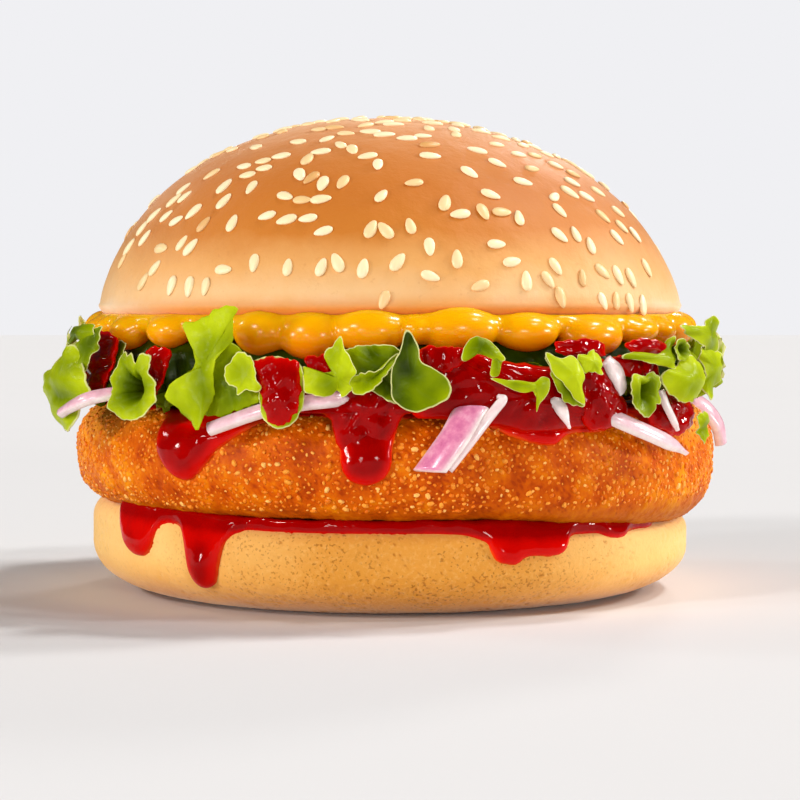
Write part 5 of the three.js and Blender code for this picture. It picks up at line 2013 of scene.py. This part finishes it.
@dataclass(frozen=True)
class Lettuce:
    """The two curly leaves: lobes listed one by one at the front, and others round the back."""

    front: tuple[Lobe, ...] = (
        # Left end: a broad bright face, the stained fold above it and the leaf behind the sauce.
        Lobe(((-52.8, 43), (-51.4, 42.8), (-50, 40), (-48.4, 38), (-47.8, 35.6), (-48.8, 33.6), (-50.4, 30.4),
              (-52, 28.9), (-54, 30.3), (-56.4, 32.2), (-58, 34.4), (-58.8, 37.2), (-57.6, 38.8),
              (-55.4, 40.4),
              (-54, 42.2)), (-53.4, 36.4), 61.2, 1.4, (0.05, -0.1), 0.8, (-0.03, 0)),
        Lobe(((-52.8, 44.6), (-51.8, 46), (-48.4, 46.6), (-47.6, 45), (-48.6, 43.8), (-50.8, 44),
              (-52.2, 43.2)),
             (-50, 45), 59.4, 0.8, (0, -0.3), 0.15, frill=0.2),
        Lobe(((-51, 43.6), (-49.4, 45.6), (-47.4, 45.8), (-47, 43.2), (-48.4, 39.8), (-49.6, 38.8),
              (-50.4, 41)),
             (-48.8, 43), 60, 0.5, (0, -0.2), 0.4),
        Lobe(((-46.6, 43), (-44, 43.6), (-43, 40), (-43.4, 36), (-45, 34), (-47, 34.4), (-48, 38)),
              (-45.4, 39),
             55.6, 0.4, (0, -0.3), 0.0),
        # Trumpet with a deep throat, painted dark as shade.
        Lobe(((-42.7, 42.4), (-41.6, 41.6), (-40.8, 41.8), (-39.8, 40.7), (-38.8, 42.2), (-37.8, 41.4),
              (-37.3, 39.1),
              (-36.4, 36.4), (-36.5, 34.7), (-37.5, 33), (-39.3, 31.7), (-41.1, 31.3), (-42.9, 32),
              (-44.1, 33.1),
              (-44.7, 34.6), (-43.9, 36.1), (-44.1, 38.2), (-43.1, 40.2)), (-40.5, 36.3),
              60.9, 0.6, (0, -0.06),
             0.66, (0.03, -0.02), 0.3, (7.5, 0.3)),
        # Tall jagged leaf: the dark half behind, then the bright half in two lobes.
        Lobe(((-25.8, 44), (-23.2, 42.8), (-21.1, 41), (-19.4, 37.6), (-19.2, 35.2), (-22, 33.9),
              (-25.8, 32.5),
              (-29, 33.2), (-29.4, 37), (-28, 40.6)), (-24.6, 37.6), 59, 0.6, (0.02, -0.1),
              0.68, (-0.05, 0.03),
             lined=0.88),
        Lobe(((-32.3, 46.9), (-30.7, 47.1), (-29.3, 47.6), (-27.8, 48.4), (-26.2, 49.1), (-24.7, 49.5),
              (-23.2, 49.1),
              (-24, 47.5), (-24.2, 44.4), (-25.4, 42.5), (-26.4, 40.8), (-26.8, 38.5), (-26.8, 35.8),
              (-27.8, 33),
              (-28.5, 30.4), (-29.8, 31.2), (-31.4, 32.1), (-32.7, 33.5), (-34.2, 34.5), (-34.6, 36),
              (-33.2, 37.8),
              (-31.4, 38.8), (-30.4, 40), (-30.2, 41.6), (-30.5, 43.2), (-31.5, 44.8)), (-28.4, 40.2),
              60.8, 0.4,
             (0.03, -0.08), 0.86, (-0.09, 0.045), 0.4, crease=0.5, lined=0.88),
        # Small bright cup and the lobe under the run of sauce.
        Lobe(((-22.9, 42.5), (-21.5, 42), (-20.6, 40.3), (-20, 38.5), (-19.2, 36.9), (-20.2, 36.5),
              (-21.5, 36.6),
              (-22.8, 36), (-23.3, 36.9), (-24.4, 37.5), (-25.1, 38.5), (-24.9, 40.3), (-24, 41.7)),
              (-22, 39),
             61.3, -0.6, (0, -0.1), 1.15, (0.03, 0), 0.15),
        Lobe(((-21, 40.8), (-17.4, 41.8), (-13.5, 40.6), (-12.9, 38), (-12.8, 34.8), (-13.9, 32.2),
              (-15.7, 30.9),
              (-17.2, 30.9), (-18.8, 32.2), (-19.6, 34), (-20, 37)), (-16.4, 36.6), 60.2, 0.5, (0, -0.12),
              0.75,
             frill=0.1, nibble=0.1),
        # Pale jagged lobe with its spike, the trough beside it, and the dark leaf behind both.
        Lobe(((-13.2, 40.3), (-11.4, 39.7), (-9.4, 39.4), (-8.4, 40.2), (-9.9, 41.8), (-8.7, 43.4),
              (-7.4, 44.9),
              (-6.8, 43.3), (-5.9, 41.7), (-4.7, 39.7), (-5.6, 38.7), (-6, 37.7), (-5.5, 36.9), (-6.9, 35.6),
              (-7.4, 36.6), (-9, 35.9), (-10.7, 35.8), (-12.4, 36.4), (-12.9, 38)), (-7.6, 38.6), 60.4, 0.7,
             (0, -0.1), 1.05, (0.01, -0.02), 0.2),
        Lobe(((-6, 38.4), (-4.1, 39.3), (-1.2, 39.9), (0.3, 41.5), (1.6, 42.4), (1.2, 41.2), (-0.1, 39.4),
              (-1.2, 38), (-2.3, 36.9), (-3.7, 36.1), (-5.4, 36.2), (-5.9, 37.3)), (-3.2, 38), 60.2, -0.9,
             (0, -0.2), 0.8, (-0.03, 0), 0.15),
        Lobe(((-7.4, 42.4), (-3.2, 43.6), (0.8, 43.4), (2.4, 41.7), (1.4, 38.6), (1.4, 34.6), (-1.4, 36),
              (-4.1, 37.6), (-6.6, 39.6)), (-1.6, 40.4), 57.6, -0.4, (0, -0.2), 0.22),
        # Smooth dark heart, its darkness partly painted shade.
        Lobe(((2.3, 44.9), (2.8, 45.9), (3.6, 45.4), (4.1, 44.4), (4.6, 43.2), (4.9, 41.2), (6.5, 40.3),
              (8.1, 39.3),
              (9.1, 38.3), (9.5, 37), (9.2, 35.8), (8.1, 34.9), (6.4, 34.1), (4.3, 33.4), (2.7, 33.8),
              (1.2, 34.7),
              (0.5, 36), (0.4, 38), (0.5, 40), (1.2, 41.6), (2, 43.4)), (3.6, 38), 61, -0.8, (0.06, -0.1),
              0.2,
             (0.09, -0.05), 0.12, nibble=0.06, crease=0.15, rim=0.45),
        # Arch curl in two lobes, and the flat leaf with a stalk.
        Lobe(((11.1, 41.4), (11.7, 43.3), (13.3, 44.8), (14.7, 44.6), (16.2, 43.5), (17.6, 41.4),
              (16.2, 41.2),
              (14.5, 42), (12.9, 42.2), (11.9, 41.2)), (14.2, 43.1), 59.6, 0.8, (0.05, -0.25),
              0.68, frill=0.12,
             nibble=0.08),
        Lobe(((16, 42.6), (17.5, 41.6), (17.1, 40.2), (16.8, 38.9), (15.6, 38.9), (15.5, 40), (15.9, 41.3)),
             (16.4, 40.8), 60, 0.5, (0, 0), 0.6, frill=0.1, nibble=0.08),
        Lobe(((15.6, 38.5), (18, 38.2), (19.9, 38.1), (22.2, 37.8), (23.4, 38.6), (24.8, 38.3), (24.7, 36.7),
              (24, 35.4), (23.2, 34.4), (22.9, 33.2), (22.9, 35), (22.3, 35.9), (21.9, 36.5), (20.4, 36.3),
              (18, 37.2)), (22.4, 37.1), 60.8, 0.4, (0, 0.05), 0.95, frill=0.12, nibble=0.06),
        # Folded bright leaf with its dark back and pale tip.
        Lobe(((24.4, 42.4), (26.6, 41.4), (28.2, 41.9), (29.2, 41.2), (30, 39.4), (29.8, 36.9), (30.1, 34.3),
              (28.9, 34.8), (27.3, 36.9), (25.7, 38.8), (24.7, 40.7)), (28, 39), 60.6, 0.6, (0.02, -0.1), 1.2,
             (0.03, 0.02), 0.1, nibble=0.06),
        Lobe(((24.4, 42.2), (25.2, 38.6), (26.6, 35.2), (28.8, 34), (30.2, 34.2), (29, 37.4), (26.4, 41.2)),
             (27, 37.6), 59.4, 0.5, (0, -0.1), 0.28),
        Lobe(((29, 41.7), (30.6, 41.9), (32, 42.6), (33.1, 41.4), (33, 39), (31.4, 39.2), (30, 39.3)),
              (31.4, 40.8),
             59.6, 0.6, (0, -0.3), 1.3, frill=0.2),
        # Right: the stained leaf, the curl with a hollow, the bright ball, and the flat leaf at the end.
        Lobe(((36.6, 41.5), (38.8, 42.2), (42.7, 41.8), (44.4, 42.8), (46.5, 44.6), (46.5, 42.7),
              (45.9, 40.5),
              (45.4, 39.5), (43.6, 39.8), (41.3, 40.4), (38.8, 41)), (43.6, 41.3), 60, 0.6, (0, -0.35), 0.8,
             (0.02, 0), 0.3),
        Lobe(((38.4, 38.7), (40.6, 38.5), (42.4, 38.8), (43.1, 37.2), (42.9, 34.4), (42.2, 33.6),
              (41.2, 31.8),
              (39.6, 32.1), (38.5, 34.2), (38.1, 36.6)), (40.9, 36.4), 60.4, 0.4, (0, -0.1), 0.55, (0, 0),
              0.2,
             (5, 0.34)),
        Lobe(((46.2, 39.8), (48.6, 41.4), (50.5, 40.6), (51.2, 38.9), (51, 36.8), (49.9, 34.9), (48.2, 33.9),
              (46.2, 34.3), (44.5, 35.4), (43.5, 37.4), (44, 39)), (47.4, 37.6), 60.6, 2.0, (0, -0.1), 1.05,
             (0.01, 0.03), 0.15),
        Lobe(((46.2, 43.6), (47.8, 44.2), (48.8, 43), (48.6, 41.4), (47.2, 40.4), (46.2, 41.4)),
              (47.5, 42.3), 60.4,
             0.3, (0, -0.15), 0.6, (0, 0), 0.1, (3, 0.4)),
        Lobe(((46.6, 46.3), (49.2, 46.3), (51.8, 46.5), (53.1, 47.4), (54.2, 48), (55, 46.4), (54.8, 44.2),
              (54.4, 42), (52.6, 42), (50.4, 43.4), (48.6, 44.6)), (52, 44.8), 59.8, 0.5, (0, 0), 0.72,
             (0.02, 0.03), 0.3),
        Lobe(((50.8, 42.2), (53, 42.8), (54.6, 42), (55.4, 39.6), (54.6, 36.8), (53.2, 34.6), (51.8, 34.2),
              (51.8, 37), (51.6, 40)), (53.2, 39.2), 59.6, 0.6, (0, -0.08), 0.9, (0, 0.03), 0.4, crease=0.6),
        Lobe(((50.4, 31.6), (51.6, 32), (52.6, 30.6), (52.4, 28.4), (51.6, 26.9), (50.8, 28.6)),
              (51.6, 30), 60.2,
             0.4, (0, 0), 0.85, frill=0.2),
    )
    filler: int = 44
    backs: int = 33

    def build(self) -> None:
        """Make the upper leaf in two pieces, and the lower leaf painted deep green with a dark disc inside,
        both as painted shade.
        """
        skin = LeafSkin("lettuce").material()
        outer, behind, inner = Heap(), Heap(), Heap()
        for number, lobe in enumerate(self.front):
            lobe.add_to(outer, number)
        draw = np.random.default_rng(4)
        for number in range(self.backs):
            at = 68 + (273 - 68) * (number + 0.5) / self.backs + draw.uniform(-2, 2)
            reach = 60.2 - 5 * math.exp(-((at - 88) / 24) ** 2) - 2.6 * math.exp(-((at - 272) / 22) ** 2)
            self.lobe(draw, at, 60 + number, reach, 0.62).add_to(behind, 32, 34)
        # The lower leaf's lobes get a deep green tone: painted shade inside the burger.
        for number in range(self.filler):
            at = 360 * number / self.filler + draw.uniform(-2, 2)
            reach = 54.8 - 2.2 * math.exp(-((at - 180) / 100 - np.sign(at - 180) * 1.8) ** 8)
            self.lobe(draw, at, 120 + number, reach, 0.1).add_to(inner, 22, 26)
        for points in inner.points:
            points[:, 2] -= 0.8 * np.clip(points[:, 2] - 39.2, 0, None)
        inner.values["edge"] = [0.85 * edges for edges in inner.values["edge"]]
        self.folds(inner)
        upper = outer.piece("upper_curly_leaf", skin)
        back = behind.piece("upper_curly_leaf_back", skin)
        lower = inner.piece("lower_curly_leaf", skin)
        settle(upper, "lettuce", "upper_lettuce")
        settle(back, "lettuce")
        settle(lower, "lettuce", "lower_lettuce")

    @staticmethod
    def folds(heap: Heap) -> None:
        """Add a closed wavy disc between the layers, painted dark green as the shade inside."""
        columns = 360
        bearing = np.linspace(0, 2 * math.pi, columns, endpoint=False)[None, :]
        outline = np.array([(36, 44.6), (44, 44.4), (49, 43.8), (51, 42), (51.6, 39.5), (51.6, 37),
                            (50.6, 35.2), (48, 34.4), (36, 34.4)])
        waver = 1.1 * ripple(77, 9 * np.cos(bearing), 9 * np.sin(bearing)) * np.ones((len(outline), 1))
        fold = 0.5 * np.sin(40 * bearing + outline[:, 1:] * 0.7)
        radius = outline[:, :1] + (waver + fold) * (outline[:, :1] > 45)
        skin = around(bearing, radius, outline[:, 1:] * np.ones_like(bearing))
        ends = [(0, 0, outline[0, 1]), (0, 0, outline[-1, 1])]
        heap.tube(skin, ends, edge=0.2, vein=0.0, tone=-0.1)

    @staticmethod
    def lobe(draw: np.random.Generator, at: float, seed: int, reach: float, tone: float) -> Leaf:
        """Draw one lobe at random.

        Args:
            draw: Where the numbers come from.
            at: Its bearing in degrees.
            seed: Its own seed.
            reach: How far out it goes.
            tone: How bright it is.

        Returns:
            The lobe.
        """
        inner = reach < INNER_REACH
        kind = Curl(max(int(draw.integers(0, len(Curl))), int(inner)))
        high, low = draw.uniform(40, 44) - 3 * inner, draw.uniform(33, 37)
        swing = draw.uniform(-3, 3)
        if kind is Curl.ARCHED:
            spine = ((at, 51, 39), (at + swing, reach - 2.5, 40), (at + swing, reach, high + 1.5))
            widths, cups = (8, 11, 9), (40, 80)
        elif kind is Curl.HANGING:
            end = at + swing
            spine = ((at, 51, 41), (at, reach - 2, high), (end, reach, low + 2), (end, reach, low))
            widths, cups = (7, 11, 12, 9), (-20, -60)
        elif kind is Curl.TRUMPET:
            spine = ((at, 51, 38), (at, reach - 3, 37.5), (at + swing, reach + 0.2, 37))
            widths, cups = (9, 16, 24), (160, 270)
        else:
            spine = ((at, 51, 40), (at + swing, reach - 2, 38), (at + swing, reach, 36), (at, reach, 38))
            widths, cups = (8, 12, 12, 10), (30, 60)
        return Leaf(spine, widths, cups, (draw.uniform(-25, 25),), draw.uniform(0.6, 1.1),
                    draw.uniform(2, 3.6), draw.uniform(0.3, 0.8), 0.3, tone + draw.uniform(-0.12, 0.16), seed)


@dataclass(frozen=True)
class Beam:
    """A far soft light: bearing, height and spread in degrees, and strength."""

    name: str
    bearing: float
    height: float
    strength: float
    spread: float = 8.0
    tint: Colour = (255, 252, 246)

    def add(self) -> None:
        """Hang the light, aimed at the burger."""
        lamp = bpy.data.lights.new(self.name, "SUN")
        lamp.energy, lamp.angle = self.strength, math.radians(self.spread)
        lamp.color = linear(self.tint)[:3]
        side, rise = math.radians(self.bearing), math.radians(self.height)
        place = Vector((math.cos(rise) * math.sin(side), -math.cos(rise) * math.cos(side), math.sin(rise)))
        made = placed(self.name, lamp)
        made.location = place
        made.rotation_euler = (-place).to_track_quat("-Z", "Y").to_euler()


@dataclass(frozen=True)
class Studio:
    """The floor, the lights, the sky and the camera."""

    lights: tuple[Beam, ...] = (
        Beam("left_key", -45, 28, 1.0),
        Beam("left_low", -65, 7.6, 1.36),
        Beam("front_left", -24, 6, 0.34),
        Beam("left_back", -110, 28, 0.4),
        Beam("front_low", 22, 7.6, 0.66),
        Beam("right_low", 85, 7.6, 1.07),
        Beam("right_back", 110, 28, 1.5),
        Beam("right_top", 110, 58, 1.35),
        Beam("right_high", 68, 48, 0.6),
        Beam("rear", 163, 30, 0.48),
    )
    eye: tuple[float, float, float] = (1.77, -420.0, 50.4)
    tilt: float = 2.41
    lens: float = 106.8
    ambient: float = 0.06
    floor_half: float = 3000.0

    def build(self) -> None:
        """Set up the studio."""
        world = bpy.data.worlds.new("studio")
        bpy.context.scene.world = world
        world.use_nodes = True
        sky = Graph(world.node_tree)
        sky.tree.nodes.clear()
        seen = sky.node("ShaderNodeLightPath", {}, {}, "Is Camera Ray")
        air = {"Color": linear((246, 246, 250)), "Strength": self.ambient}
        glow = sky.node("ShaderNodeBackground", {}, air)
        wall = sky.node("ShaderNodeBackground", {}, {"Color": linear((240, 240, 243)), "Strength": 1.0})
        both = sky.node("ShaderNodeMixShader", {}, {0: seen, 1: glow, 2: wall})
        sky.feed(sky.tree.nodes.new("ShaderNodeOutputWorld").inputs["Surface"], both)
        for light in self.lights:
            light.add()
        heap = Heap()
        floor = np.array([(x, y, 0) for x, y in ((-1, -1), (1, -1), (1, 1), (-1, 1))]) * self.floor_half
        heap.add(floor, np.array([(0, 1, 2, 3)]))
        heap.piece("floor", Plain("floor", (220, 220, 224)).material())
        camera = bpy.data.cameras.new("camera")
        camera.lens, camera.sensor_width = self.lens, 36.0
        camera.clip_start, camera.clip_end = 0.01, 20.0
        made = placed("camera", camera)
        made.location = Vector(self.eye) * MM
        made.rotation_euler = (math.radians(90 - self.tilt), 0, 0)
        bpy.context.scene.camera = made
        bpy.context.scene.view_settings.view_transform = "Standard"


def main() -> None:
    """Build the burger from the bottom up, then the studio."""
    logging.basicConfig(level=logging.INFO, format="%(message)s")
    heel, patty = BottomBun(), Patty()
    heel.build()
    patty.build()
    Sauces().build(heel, patty)
    Onions().build()
    Lettuce().build()
    CheeseRing().build()
    TopBun().build()
    Studio().build()


if __name__ == "__main__":
    main()
